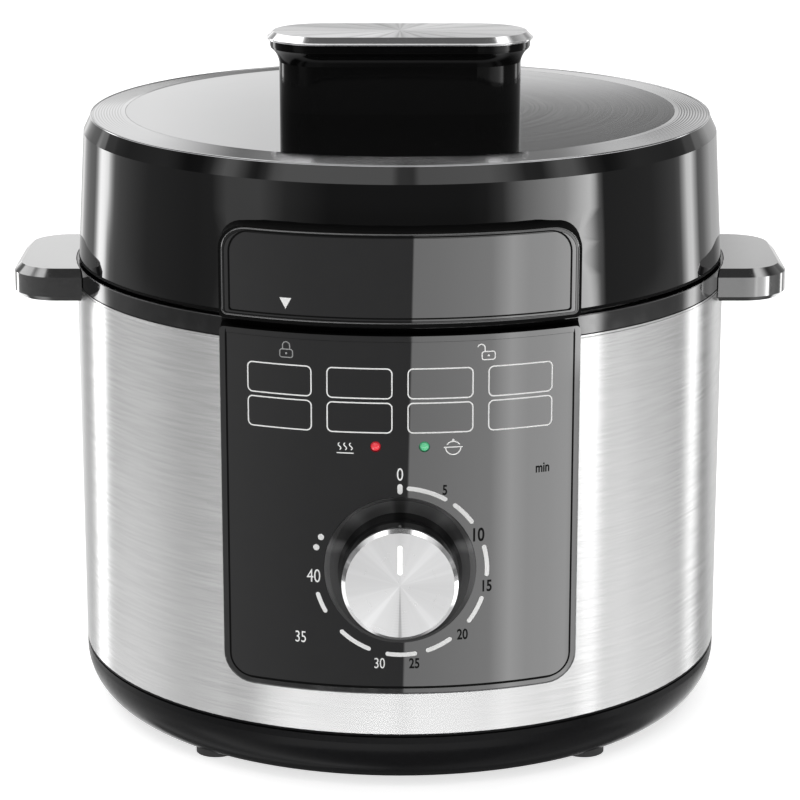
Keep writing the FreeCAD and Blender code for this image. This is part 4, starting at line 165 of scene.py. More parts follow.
class FinishSettings(bpy.types.PropertyGroup):
    """Colours of the cooker's main finishes."""
    gloss_black: colour_of("Gloss black", "Lid, ring, cap's rim and knob",
                           (0.003, 0.003, 0.0032))
    satin_black: colour_of("Satin black", "Base, grips and brackets",
                           (0.008, 0.008, 0.0085))
    steel: colour_of("Brushed steel", "The body's steel shell", (0.66, 0.66, 0.66))
    silver: colour_of("Silver", "Sunburst caps of the knob and the lid's handle",
                      (0.90, 0.90, 0.905))
    red: colour_of("Heating lamp", "Lens of the heating lamp", (0.86, 0.048, 0.068))
    green: colour_of("Keep-warm lamp", "Lens of the keep-warm lamp", (0.13, 0.60, 0.30))


class StageSettings(bpy.types.PropertyGroup):
    """Where the camera stands, the floor, and the studio's light."""
    floor: colour_of("Floor", "Colour of the floor", (0.86, 0.86, 0.86))
    floor_size: FloatProperty(
        name="Floor size", description="Side of the square floor",
        default=8.0, min=1, max=50, unit="LENGTH")
    distance: FloatProperty(
        name="Camera distance", description="From the cooker's axis, level",
        default=1.22604, min=0.5, max=5, unit="LENGTH")
    height: FloatProperty(
        name="Camera height", description="Above the floor",
        default=0.45869, min=0, max=3, unit="LENGTH")
    pitch: FloatProperty(
        name="Camera pitch", description="How far it looks down",
        default=0.2652, min=0, max=1.5, unit="ROTATION")
    lens: FloatProperty(
        name="Focal length", description="On a sensor 36 mm wide",
        default=131.73, min=20, max=300, unit="CAMERA")
    light: FloatProperty(
        name="Light level", description="Brightness of the studio round the cooker",
        default=1.0, min=0, max=4)


# ---------------------------------------------------------------- surfaces

def surface(name, points, faces, finish, smooth=False):
    """Makes a mesh object from an (n, 3) array and lists of corner numbers."""
    mesh = bpy.data.meshes.new(name)
    mesh.from_pydata(np.asarray(points, float).tolist(), [], faces)
    mesh.validate()
    mesh.polygons.foreach_set("use_smooth", [smooth] * len(mesh.polygons))
    mesh.materials.append(finish)
    mesh.update()
    made = bpy.data.objects.new(name, mesh)
    bpy.context.scene.collection.objects.link(made)
    return made


def piece(name, shape, body, finish, smooth=False):
    """Makes a piece of the cooker from a shape, its points and faces."""
    made = surface(name, *shape, finish, smooth)
    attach(made, body)
    return made


def wrap(shape, radius):
    """Lays flat marks round an upright cylinder.
    (u, v, w) goes to ((R + w) sin(u/R), -(R + w) cos(u/R), v)."""
    flat, faces = shape
    u, v, w = np.moveaxis(np.asarray(flat, float), -1, 0)
    return np.stack([(radius + w) * np.sin(u / radius),
                     -(radius + w) * np.cos(u / radius), v], -1), faces


def upright(shape, front):
    """Stands flat marks on a plane that faces the front.
    (u, v, w) goes to (u, front - w, v)."""
    flat, faces = shape
    u, v, w = np.moveaxis(np.asarray(flat, float), -1, 0)
    return np.stack([u, front - w, v], -1), faces


def printed(name, parts, ink="panel_ink"):
    """Makes one piece of several flat shapes, printed on the control panel."""
    piece(name, wrap(gather(parts), PANEL_RADIUS), "cooker",
          FINISHES[ink])


def ring_faces(rings, sides, closed):
    """Quads between neighbouring rings of points, the last joined to the first
    if the path is closed, or with a flat cap at each end if it isn't."""
    r = np.arange(rings if closed else rings - 1)[:, None]
    s = np.arange(sides)[None, :]
    a, b = r * sides, (r + 1) % rings * sides
    t = (s + 1) % sides
    quads = np.stack([a + s, a + t, b + t, b + s], -1).reshape(-1, 4).tolist()
    if not closed:
        quads.append(list(range(sides))[::-1])
        quads.append([(rings - 1) * sides + i for i in range(sides)])
    return quads


def length_along(points):
    """The length of a line from its first point up to each of its points."""
    step = np.linalg.norm(np.diff(points, axis=0), axis=1)
    return np.concatenate([[0], np.cumsum(step)])


def ribbon(path, width, thickness, closed=False):
    """A line of ink. The profile is a flat box, width by thickness, carried along
    path in the (u, v) plane, square to it. At the open ends the half width
    follows h = w/2 sqrt(1 - (1 - s/(w/2))^2), s from the end, so they are round."""
    path = np.asarray(path, float)
    if closed:
        along = np.roll(path, -1, 0) - np.roll(path, 1, 0)
        half = np.full(len(path), width / 2)
    else:
        along = np.gradient(path, axis=0)
        gone = length_along(path)
        near = np.minimum(gone, gone[-1] - gone) / (width / 2)
        half = width / 2 * np.sqrt(1 - np.clip(1 - near, 0, 0.97) ** 2)
    along /= np.linalg.norm(along, axis=1, keepdims=True)
    side = np.stack([along[:, 1], -along[:, 0]], -1) * half[:, None]
    left, right = path - side, path + side
    low, top = np.zeros((len(path), 1)), np.full((len(path), 1), thickness)
    rings = np.stack([np.hstack([right, low]), np.hstack([right, top]),
                      np.hstack([left, top]), np.hstack([left, low])], 1)
    return rings.reshape(-1, 3), ring_faces(len(path), 4, closed)


def ring_path(radius, height):
    """Points (r cos a, r sin a, z) round the upright axis."""
    a = np.linspace(0, 2 * math.pi, RING_STEPS, endpoint=False)
    return np.stack([radius * np.cos(a), radius * np.sin(a), 0 * a + height], -1)


def strip(*edges, closed=True):
    """A thin band between lines of points that run side by side. Point k of every
    line makes one ring, and the rings are joined along the lines."""
    rings = np.stack(edges, 1)
    return rings.reshape(-1, 3), ring_faces(len(rings), len(edges), closed)


def hoop(radius, low, high, thickness):
    """A flat band round the upright axis: its section is the box from radius to
    radius plus thickness, and from low to high, carried round a circle."""
    far = radius + thickness
    return strip(ring_path(radius, low), ring_path(far, low),
                 ring_path(far, high), ring_path(radius, high))


def bead(path, radius, closed):
    """A rounded edge. A circle of the given radius is carried along the path:
    p + r (cos b n + sin b m), where m is square to the path and to the way out from
    the upright axis, and n is square to both."""
    path = np.asarray(path, float)
    outward = path * [1, 1, 0]
    outward /= np.linalg.norm(outward, axis=1, keepdims=True)
    along = (np.roll(path, -1, 0) - np.roll(path, 1, 0) if closed
             else np.gradient(path, axis=0))
    along /= np.linalg.norm(along, axis=1, keepdims=True)
    m = np.cross(along, outward)
    m /= np.linalg.norm(m, axis=1, keepdims=True)
    n = np.cross(m, along)
    b = np.linspace(0, 2 * math.pi, BEAD_SIDES, endpoint=False)[None, :, None]
    rings = path[:, None] + radius * (np.cos(b) * n[:, None] + np.sin(b) * m[:, None])
    return rings.reshape(-1, 3), ring_faces(len(path), BEAD_SIDES, closed)


def onto(outline, radius):
    """Lays a front view (x, z) on an upright cylinder: y = -sqrt(R^2 - x^2)."""
    x, z = np.moveaxis(np.asarray(outline, float), -1, 0)
    return np.stack([x, -np.sqrt(radius ** 2 - x ** 2), z], -1)


def drawn_in(outline, side, foot, head):
    """The outline squeezed so that its box ends that much further in: by side at
    the left and right, by foot at the bottom and by head at the top."""
    low, high = outline.min(0), outline.max(0)
    to_low, to_high = low + [side, foot], high - [side, head]
    return to_low + (outline - low) / (high - low) * (to_high - to_low)


def patch(outline, thickness):
    """A filled spot of ink. Points are c + k (outline(t) - c), with k 0 or 1 and
    c the middle, on its face and again on its back."""
    outline = np.asarray(outline, float)
    n, middle = len(outline), outline.mean(0)
    flat = np.vstack([outline, outline, middle[None], middle[None]])
    lift = np.concatenate([np.full(n, thickness), np.zeros(n), [thickness, 0]])
    i = np.arange(n)
    j = (i + 1) % n
    top = np.stack([i, j, np.full(n, 2 * n)], -1)
    back = np.stack([j + n, i + n, np.full(n, 2 * n + 1)], -1)
    wall = np.stack([i, i + n, j + n, j], -1)
    return (np.hstack([flat, lift[:, None]]),
            top.tolist() + back.tolist() + wall.tolist())


def arc(centre, radius, start, end, steps=40):
    """Points c + r (sin a, cos a), the angle a in degrees clockwise from the top."""
    a = np.radians(np.linspace(start, end, steps))
    return np.stack([centre[0] + radius * np.sin(a),
                     centre[1] + radius * np.cos(a)], -1)


def spot(u, v, radius, thickness, steps=24):
    """A round dot of ink, with its middle and radius in millimetres."""
    return patch(arc(mm(u, v), radius * MM, 360, 360 / steps, steps), thickness)


def spaced(points, gap):
    """The same line through points, with a point at least every gap along it."""
    points = np.asarray(points, float)
    gone = length_along(points)
    at = np.linspace(0, gone[-1], max(2, int(math.ceil(gone[-1] / gap)) + 1))
    return np.stack([np.interp(at, gone, points[:, i]) for i in (0, 1)], -1)


def rounded_box(u0, v0, u1, v1, low, high=None):
    """A closed outline, anticlockwise: four quarter circles joined by straights,
    of radius low at the lower corners and high at the upper ones, with extra
    points on the straights so that they bend round the panel."""
    high = low if high is None else high
    corners = (((u1 - high, v1 - high), high, 90), ((u0 + high, v1 - high), high, 0),
               ((u0 + low, v0 + low), low, -90), ((u1 - low, v0 + low), low, -180))
    arcs = [arc(centre, radius, start, start - 90, 9)
            for centre, radius, start in corners]
    parts = []
    for this, after in zip(arcs, arcs[1:] + arcs[:1]):
        parts += [this, spaced([this[-1], after[0]], 2 * MM)[1:-1]]
    return np.vstack([part for part in parts if len(part)])


def lettering(words, height, centre, thickness, bold):
    """Flat points and faces of plain lettering: the text is made mesh, thickened
    by bold, then squeezed to the given height and centred."""
    curve = bpy.data.curves.new("lettering", "FONT")
    curve.body = words
    curve.size = 1.0
    curve.extrude = 0.5
    curve.offset = bold
    curve.resolution_u = 6
    holder = bpy.data.objects.new("lettering", curve)
    bpy.context.scene.collection.objects.link(holder)
    bpy.context.view_layer.update()
    mesh = bpy.data.meshes.new_from_object(holder)
    points = np.zeros(len(mesh.vertices) * 3)
    mesh.vertices.foreach_get("co", points)
    points = points.reshape(-1, 3)
    faces = [list(p.vertices) for p in mesh.polygons]
    bpy.data.objects.remove(holder)
    bpy.data.curves.remove(curve)
    bpy.data.meshes.remove(mesh)
    low, high = points.min(0), points.max(0)
    scale = height / (high[1] - low[1])
    flat = (points - (low + high) / 2) * [scale * LETTER_WIDTH, scale, thickness]
    return flat + [centre[0], centre[1], thickness / 2], faces


def gather(parts):
    """Puts several shapes, each its points and faces, together as one."""
    points, faces, start = [], [], 0
    for part_points, part_faces in parts:
        points.append(np.asarray(part_points).reshape(-1, 3))
        faces += [[i + start for i in face] for face in part_faces]
        start += len(points[-1])
    return np.vstack(points), faces


# ---------------------------------------------------------------- finishes

class Nodes:
    """Short calls that add nodes to a material or a world, and join them. A node
    given as a value stands for its first output."""

    def __init__(self, owner):
        owner.use_nodes = True
        self.tree = owner.node_tree

    def join(self, socket, value):
        if isinstance(value, bpy.types.Node):
            value = value.outputs[0]
        if isinstance(value, bpy.types.NodeSocket):
            self.tree.links.new(value, socket)
        elif value is not None:
            socket.default_value = value

    def add(self, kind, *values, **attributes):
        """A new node with its attributes set, and its inputs in their order."""
        node = self.tree.nodes.new("ShaderNode" + kind)
        for name, value in attributes.items():
            setattr(node, name, value)
        for socket, value in zip(node.inputs, values):
            self.join(socket, value)
        return node

    def maths(self, operation, *values):
        return self.add("Math", *values, operation=operation)

    def times(self, first, *others):
        """The product of two or more numbers."""
        for other in others:
            first = self.maths("MULTIPLY", first, other)
        return first

    def between(self, value, low, high, to_low=0.0, to_high=1.0, **attributes):
        """Carries low..high to to_low..to_high, and holds the ends."""
        return self.add("MapRange", value, low, high, to_low, to_high, **attributes)

    def blend(self, share, a, b):
        """Colour a where share is 0 and b where it is 1."""
        node = self.add("Mix", share, data_type="RGBA")
        for socket, colour in ((6, a), (7, b)):
            self.join(node.inputs[socket],
                      (*colour, 1) if isinstance(colour, tuple) else colour)
        return node.outputs[2]

    def ramp(self, value, stops):
        """Grey by value: stops are pairs of value and grey, both from 0 to 1."""
        node = self.add("ValToRGB", value)
        elements = node.color_ramp.elements
        for end in (0, -1):
            elements[end].color = (*[stops[end][1]] * 3, 1)
        for at, grey in stops[1:-1]:
            elements.new(at).color = (grey, grey, grey, 1)
        return node


class Finish(Nodes):
    """A material with one Principled shader, and short calls that add the nodes
    which feed it. All patterns are laid out in Object coordinates, in metres."""

    def __init__(self, name, colour, **sockets):
        self.name = name
        self.material = bpy.data.materials.new(name)
        super().__init__(self.material)
        self.shader = self.tree.nodes["Principled BSDF"]
        self.put(Base_Color=(*colour, 1), **sockets)
        self.place = self.add("TexCoord").outputs["Object"]

    def put(self, **sockets):
        """Sets or links the shader's sockets, whose spaces are given as _."""
        for name, value in sockets.items():
            self.join(self.shader.inputs[name.replace("_", " ")], value)

    def skin(self, roughness, colour, height, depth, **sockets):
        """Links roughness and colour, and raises the surface by height times depth,
        in metres."""
        bump = self.add("Bump")
        for name, value in (("Strength", 1.0), ("Distance", depth), ("Height", height)):
            self.join(bump.inputs[name], value)
        self.put(Roughness=roughness, Base_Color=colour, Normal=bump, **sockets)
        return self

    def vector(self, operation, *values):
        return self.add("VectorMath", *values, operation=operation)

    def grey(self, value):
        """The same number as red, green and blue."""
        return self.add("CombineXYZ", value, value, value)

    def facing(self, axis):
        """1 where the surface looks along an axis, either way, within 10 degrees,
        and 0 beyond 16."""
        normal = self.add("NewGeometry").outputs["Normal"]
        share = self.vector("DOT_PRODUCT", normal, axis).outputs["Value"]
        return self.between(self.maths("ABSOLUTE", share), 0.96, 0.985)

    def noise(self, scale, detail=2.0, stretch=(1, 1, 1)):
        """Smooth noise, 0 to 1, with scale in blobs per metre."""
        spread = self.vector("MULTIPLY", self.place, tuple(scale * s for s in stretch))
        return self.add("TexNoise", spread, None, 1.0, detail, 0.5)

    def shades(self, share, colour, low, high=1.0):
        """The colour times low where share is 0, and times high where it is 1."""
        return self.blend(share, tuple(c * low for c in colour),
                          tuple(min(1, c * high) for c in colour))

    def tint(self, grey, colour, gain=1.0):
        """A colour times a grey."""
        return self.vector("MULTIPLY", grey, tuple(c * gain for c in colour))

    def spun(self, scale, axis="Z", centre=(0, 0, 0)):
        """For metal turned about an axis: the distance from it, the unit direction
        across it as two numbers, and turning marks, which are noise by distance
        with scale rings per metre that hardly change with direction."""
        off = self.add("SeparateXYZ", self.vector("SUBTRACT", self.place, centre))
        a, b = off.outputs[0], off.outputs[1 if axis == "Z" else 2]
        far = self.maths("SQRT", self.maths("ADD", self.times(a, a), self.times(b, b)))
        safe = self.maths("MAXIMUM", far, 1e-5)
        a, b = self.maths("DIVIDE", a, safe), self.maths("DIVIDE", b, safe)
        spread = self.add("CombineXYZ", self.times(far, scale), a, b)
        return far, a, b, self.add("TexNoise", spread, None, 1.0, 2.0)

    def tangent(self, way):
        """The direction in which brushed metal spreads the light, square to its
        scratches, carried from the object's frame to the world's."""
        return self.add("VectorTransform", way, vector_type="VECTOR",
                        convert_from="OBJECT", convert_to="WORLD")

    def outward(self, axis, centre):
        """The direction away from an axis."""
        off = self.vector("MULTIPLY", self.vector("SUBTRACT", self.place, centre),
                          (1, 1, 0) if axis == "Z" else (1, 0, 1))
        return self.vector("NORMALIZE", off)

    def turn(self, b):
        """The angle from straight up, 0 to 1, from a direction's upright part."""
        return self.maths("DIVIDE", self.maths("ARCCOSINE", b), math.pi)

    def wave(self, far, pitch):
        """A sine by distance, -1 to 1."""
        return self.maths("SINE", self.times(far, 2 * math.pi / pitch))


def moulded(name, colour, roughness, grain=900.0, depth=0.012 * MM, **sockets):
    """Moulded plastic: fine spark texture, and slow changes of gloss."""
    f = Finish(name, colour, **sockets)
    fine = f.noise(grain, 3.0)
    rough = f.between(f.maths("ADD", fine, f.noise(35.0)), 0.6, 1.4,
                      roughness - 0.06, roughness + 0.08)
    return f.skin(rough, f.shades(fine, colour, 0.8, 1.3), fine, depth)


def polished(name, colour, roughness, ripple=0.001 * MM, **sockets):
    """Gloss plastic: a deep clear surface with a trace of ripple and handling."""
    f = Finish(name, colour, **sockets)
    handled = f.noise(160.0, 4.0)
    return f.skin(f.between(handled, 0.35, 0.75, roughness * 0.7, roughness * 1.5),
                  f.shades(handled, colour, 0.85, 1.25), f.noise(45.0, 1.0), ripple)


def plain_metal(name, colour, roughness, scale, depth, blotch):
    """Sheet or cast metal: fine grain in the gloss and a slow change of tone."""
    f = Finish(name, colour, Metallic=1.0)
    fine = f.noise(scale, 4.0)
    return f.skin(f.between(fine, 0.3, 0.7, roughness * 0.8, roughness * 1.25),
                  f.shades(f.noise(30.0), colour, 1 - blotch, 1 + blotch), fine, depth)


def brushed_shell(name, colour):
    """Steel brushed round the body: thin level scratches, long round the shell."""
    f = Finish(name, colour, Metallic=1.0, Anisotropic=1.0)
    both = f.maths("ADD", f.times(f.noise(1.0, 3.0, (45, 45, 1000)), 0.75),
                   f.times(f.noise(1.0, 2.0, (6, 6, 240)), 0.25))
    return f.skin(f.between(both, 0.35, 0.65, 0.235, 0.27),
                  f.shades(f.between(both, 0.35, 0.65), colour, 0.90, 1.05),
                  both, 0.004 * MM, Tangent=f.tangent((0.0, 0.0, 1.0)))


def sunburst(name, colour, axis, centre, painted_rays, roughness=0.3, softness=0.02):
    """Spun metal: rings too fine to see singly, rays of light and dark painted into the
    colour of its face by the angle from straight up, the same on both sides, as painted
    highlights and shade, and a polished bevel."""
    f = Finish(name, colour, Metallic=1.0, Anisotropic=0.5)
    face = f.facing((0, 0, 1) if axis == "Z" else (0, 1, 0))
    far, a, b, rings = f.spun(3200, axis, centre)
    thin = f.add("TexNoise", f.add("CombineXYZ", f.times(a, 11.0), f.times(b, 11.0), 0.4),
                 None, 1.0, 3.0)
    angle = f.turn(b)
    fine = f.between(thin, 0.3, 0.7, 1 - softness, 1 + softness)
    # dark turned lines, drawn in the lowest part of the face only
    below = f.between(angle, 0.84, 0.97)
    lines = f.between(f.times(f.wave(far, CAP_LINES), below), 0.55, 1.0, 1.0, 0.93)
    # painted highlights and shade: the rays are greys in the face's colour
    tone = f.tint(f.grey(f.times(f.ramp(angle, painted_rays), fine, lines)), colour, 1.1)
    rough = f.times(face, f.between(rings, 0.2, 0.8, 0.8, 1.2))
    return f.skin(f.between(rough, 0.0, 1.0, 0.12, roughness),
                  f.blend(face, tuple(min(1, c * 1.05) for c in colour), tone),
                  f.times(rings, face), 0.003 * MM,
                  Tangent=f.tangent(f.outward(axis, centre)))


def spun_dish(name, colour):
    """The dial's sloping dish: dark spun metal, with soft wedges of light painted into
    its colour as painted highlights.
    """
    f = Finish(name, colour, Metallic=0.5, Anisotropic=0.6)
    middle = (0, 0, DIAL_HEIGHT)
    *_, b, rings = f.spun(2600, "Y", middle)
    # painted highlights: wedges of light as greys by the angle from straight up, at full
    # strength on the slope and at 0.16 of it on the flat front rim
    wedge = f.ramp(f.turn(b), DISH_PAINTED_WEDGES)
    rim = f.facing((0, 1, 0))
    return f.skin(f.between(rings, 0.3, 0.7, 0.36, 0.46),
                  f.blend(rim, f.tint(wedge, colour), f.tint(wedge, colour, 0.16)),
                  rings, 0.002 * MM, Tangent=f.tangent(f.outward("Y", middle)))


def grooved_gloss(name, colour):
    """The lid: gloss black, with a plated flat ring on top that carries fine round
    grooves, deepest at the left and right, where painted shade darkens them."""
    f = Finish(name, colour, IOR=1.8)
    far, a, _, marks = f.spun(1800)
    height = f.add("SeparateXYZ", f.place).outputs[2]
    plated = f.times(f.between(far, *DECK_EDGE, 1.0, 0.0),
                     f.between(height, *DECK_HEIGHT))
    cut = f.times(f.wave(far, DECK_GROOVES), f.times(plated, f.between(far, *DECK_START)))
    sideways = f.maths("ABSOLUTE", a)
    # painted shade: the plating darkens along the grooves, only towards the left and
    # right
    shade = f.between(f.times(cut, f.maths("POWER", sideways, 10.0)), 0.1, 0.8, 1.0, 0.6)
    metal = f.vector("MULTIPLY", f.blend(marks, (0.44, 0.44, 0.445), (0.50, 0.50, 0.505)),
                     f.grey(shade))
    rough = f.times(plated, f.between(marks, 0.3, 0.7, 0.7, 1.2))
    depth = f.maths("ADD", f.maths("POWER", sideways, 4.0), 0.12)
    return f.skin(f.between(rough, 0.0, 1.0, 0.03, 0.07), f.blend(plated, colour, metal),
                  f.times(cut, depth), 0.012 * MM, Metallic=plated)


def mirror_disc(name):
    """The lid's steel disc: polished, with faint turning marks round its middle."""
    low, high = (0.39, 0.39, 0.395), (0.42, 0.42, 0.425)
    f = Finish(name, high, Metallic=1.0)
    rings = f.spun(1500)[-1]
    return f.skin(f.between(rings, 0.3, 0.7, 0.05, 0.08),
                  f.blend(f.noise(25.0), low, high), rings, 0.0012 * MM)


def grained(name, low, high, roughness, scale, depth, detail=2.0, stretch=(1, 1, 1),
            **sockets):
    """A finish with one fine noise in its gloss, its tone and its relief."""
    f = Finish(name, high, **sockets)
    grain = f.noise(scale, detail, stretch)
    return f.skin(f.between(grain, 0.3, 0.7, *roughness), f.blend(grain, low, high),
                  grain, depth)


def lens(name, colour):
    """A lamp's coloured lens: clear gloss over a glowing body."""
    return grained(name, tuple(c * 0.85 for c in colour), colour, (0.2, 0.34), 500.0,
                   0.01 * MM, Coat_Weight=0.6, Coat_Roughness=0.08,
                   Subsurface_Weight=0.3, Subsurface_Scale=0.002,
                   Emission_Color=(*colour, 1), Emission_Strength=0.25)


def silicone(name, colour):
    """Milky rubber: light goes a little way in, with a faint moulded skin."""
    f = Finish(name, colour, Subsurface_Weight=0.35, Subsurface_Scale=0.004,
               Subsurface_Radius=(1.0, 0.9, 0.8))
    skin = f.noise(350.0, 3.0)
    return f.skin(f.between(skin, 0.3, 0.7, 0.38, 0.52),
                  f.shades(f.noise(60.0), colour, 0.93), skin, 0.02 * MM)


def non_stick(name):
    """Dark pot coating with small pale flecks."""
    f = Finish(name, (0.035, 0.035, 0.038), Coat_Weight=0.35, Coat_Roughness=0.2)
    flecks = f.add("TexVoronoi", f.vector("MULTIPLY", f.place, (700, 700, 700)))
    fleck = f.between(flecks.outputs["Distance"], 0.12, 0.22, 1.0, 0.0)
    skin = f.noise(900.0, 3.0)
    return f.skin(f.between(skin, 0.3, 0.7, 0.34, 0.48),
                  f.blend(f.times(fleck, f.between(skin, 0.45, 0.6)),
                          (0.032, 0.032, 0.035), (0.26, 0.26, 0.27)), skin, 0.02 * MM)


def clear_cup(name):
    """Clear plastic with a faint smoke tint and soft flow marks."""
    return grained(name, (0.82, 0.84, 0.85), (0.93, 0.94, 0.94), (0.06, 0.14), 60.0,
                   0.04 * MM, 3.0, (1, 1, 0.3), Transmission_Weight=0.9, IOR=1.49)


def braided(name):
    """Heat-proof wire sleeve: a fine woven pattern over a pale core."""
    f = Finish(name, (0.55, 0.53, 0.48), Sheen_Weight=0.2)
    spread = f.vector("MULTIPLY", f.place, (2400, 2400, 2400))
    weave = f.add("TexWave", spread, 1.0, 2.0, wave_type="BANDS",
                  bands_direction="DIAGONAL").outputs["Fac"]
    return f.skin(f.between(weave, 0.0, 1.0, 0.55, 0.75),
                  f.blend(weave, (0.42, 0.40, 0.36), (0.66, 0.64, 0.59)),
                  weave, 0.05 * MM)


def circuit_board(name):
    """Green solder mask with faint tracks under it."""
    f = Finish(name, (0.01, 0.12, 0.04), Coat_Weight=0.3)
    track = f.add("TexBrick", f.vector("MULTIPLY", f.place, (260, 260, 260)))
    copper = f.between(track.outputs["Fac"], 0.2, 0.8)
    return f.skin(f.between(f.noise(300.0), 0.3, 0.7, 0.28, 0.4),
                  f.blend(copper, (0.010, 0.115, 0.040), (0.03, 0.20, 0.07)),
                  copper, 0.03 * MM)


def printed_ink(name, colour, glow=0.0):
    """Screen-printed ink: even colour with the faint grain of the mesh. With glow, the
    ink also glows a little in its own colour, a painted highlight, as it is no lamp."""
    return grained(name, tuple(c * 0.9 for c in colour), colour, (0.42, 0.6), 2600.0,
                   0.01 * MM, Specular_IOR_Level=0.1, Emission_Color=(*colour, 1),
                   Emission_Strength=glow)


FINISHES = {}
TAB_OUTLINE = rounded_box(-TAB_HALF, TAB_FOOT, TAB_HALF, TAB_HEAD, *mm(*TAB_CORNERS))

# Plain metals: slot, colour, roughness, grains per metre, depth of grain in
# millimetres, how much the tone changes, and the CAD nodes.
STEELS = (
    ("screw_steel", (0.56, 0.56, 0.57), 0.32, 1800.0, 0.01, 0.06,
     "base_screws grip_screws panel_screws timer_screws flange_screws handle_screws "
     "inner_lid_screws inlet_screws cup_screws"),
    ("zinc_steel", (0.60, 0.62, 0.66), 0.36, 300.0, 0.01, 0.12,
     "base_brackets timer_bracket sensor_guide seal_carrier vent_nut"),
    ("spring_steel", (0.48, 0.47, 0.46), 0.28, 900.0, 0.01, 0.06,
     "elastic_plate sensor_spring"),
    ("shaft_steel", (0.58, 0.58, 0.58), 0.25, 1200.0, 0.01, 0.06, "timer_shaft"),
    ("vent_steel", (0.62, 0.62, 0.62), 0.24, 900.0, 0.01, 0.06, "vent_pipe block_guard"),
    ("weight_steel", (0.55, 0.55, 0.55), 0.3, 900.0, 0.01, 0.06, "valve_weight"),
    ("element_steel", (0.30, 0.29, 0.28), 0.5, 700.0, 0.02, 0.2, "heater_element"),
    ("pin_brass", (0.74, 0.58, 0.30), 0.28, 900.0, 0.01, 0.06, "inlet_pins"))
ALUMINIUMS = (
    ("outer_pot_alu", (0.60, 0.60, 0.60), 0.5, 350.0, 0.03, 0.06, "outer_pot"),
    ("heater_alu", (0.55, 0.55, 0.55), 0.55, 260.0, 0.06, 0.1, "heater_plate"),
    ("sensor_alu", (0.62, 0.62, 0.62), 0.35, 900.0, 0.01, 0.06, "sensor_cup"),
    ("inner_lid_alu", (0.64, 0.64, 0.64), 0.34, 500.0, 0.015, 0.06, "inner_lid"),
    ("float_alu", (0.62, 0.62, 0.62), 0.35, 900.0, 0.01, 0.06, "float_pin"))

# Painted highlights and shade: greys of the dial's dish and the silver caps by the
# angle from straight up, 0 to 1, set in their colour for the wedges and rays of light
# that their reflections show.
DISH_PAINTED_WEDGES = (
    (0, 0.28), (0.02, 0.35), (0.045, 0.8), (0.10, 0.7), (0.17, 0.62), (0.22, 0.85),
    (0.26, 0.5), (0.3, 0.25), (0.35, 0.25), (0.375, 0.85), (0.40, 1.0), (0.43, 0.55),
    (0.5, 0.5), (0.6, 0.6), (0.75, 0.5), (1, 0.4))
CAP_PAINTED_RAYS = (
    (0, 0.90), (0.02, 0.70), (0.05, 0.92), (0.12, 0.80), (0.15, 0.66), (0.18, 0.92),
    (0.24, 0.96), (0.27, 0.78), (0.30, 1.0), (0.37, 0.92), (0.40, 0.74), (0.43, 0.98),
    (0.48, 1.0), (0.5, 0.86), (0.52, 1.0), (0.58, 1.0), (0.61, 0.80), (0.64, 1.0),
    (0.71, 0.96), (0.74, 0.72), (0.78, 1.0), (0.84, 0.94), (0.87, 0.66), (0.90, 0.96),
    (0.96, 0.86), (0.985, 0.62), (1, 0.95))
KNOB_SHADE = 0.58
KNOB_PAINTED_RAYS = (
    (0, 0.84), (0.02, 0.88), (0.05, 0.93), (0.17, 0.93), (0.21, 1.0), (0.24, 1.0),
    (0.27, 0.93), (0.39, 0.93), (0.41, 0.98), (0.43, 0.93), (0.57, 0.92), (0.59, 0.97),
    (0.61, 0.93), (0.74, 0.92), (0.77, 1.0), (0.80, 1.0), (0.83, 0.91), (0.95, 0.88),
    (0.985, 0.84), (0.993, 0.55), (1, 0.5))


def give(finish, *nodes):
    """Keeps a finish under its material slot's name and puts it on these CAD nodes."""
    FINISHES[finish.name] = finish.material
    for node in nodes:
        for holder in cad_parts[node].material_slots:
            holder.material = finish.material


def give_metals(metals):
    """Makes every plain metal of a table and puts it on its CAD nodes."""
    for slot, colour, roughness, grains, depth, blotch, nodes in metals:
        give(plain_metal(slot, colour, roughness, grains, depth * MM, blotch),
             *nodes.split())


# ---------------------------------------------------------------- operators

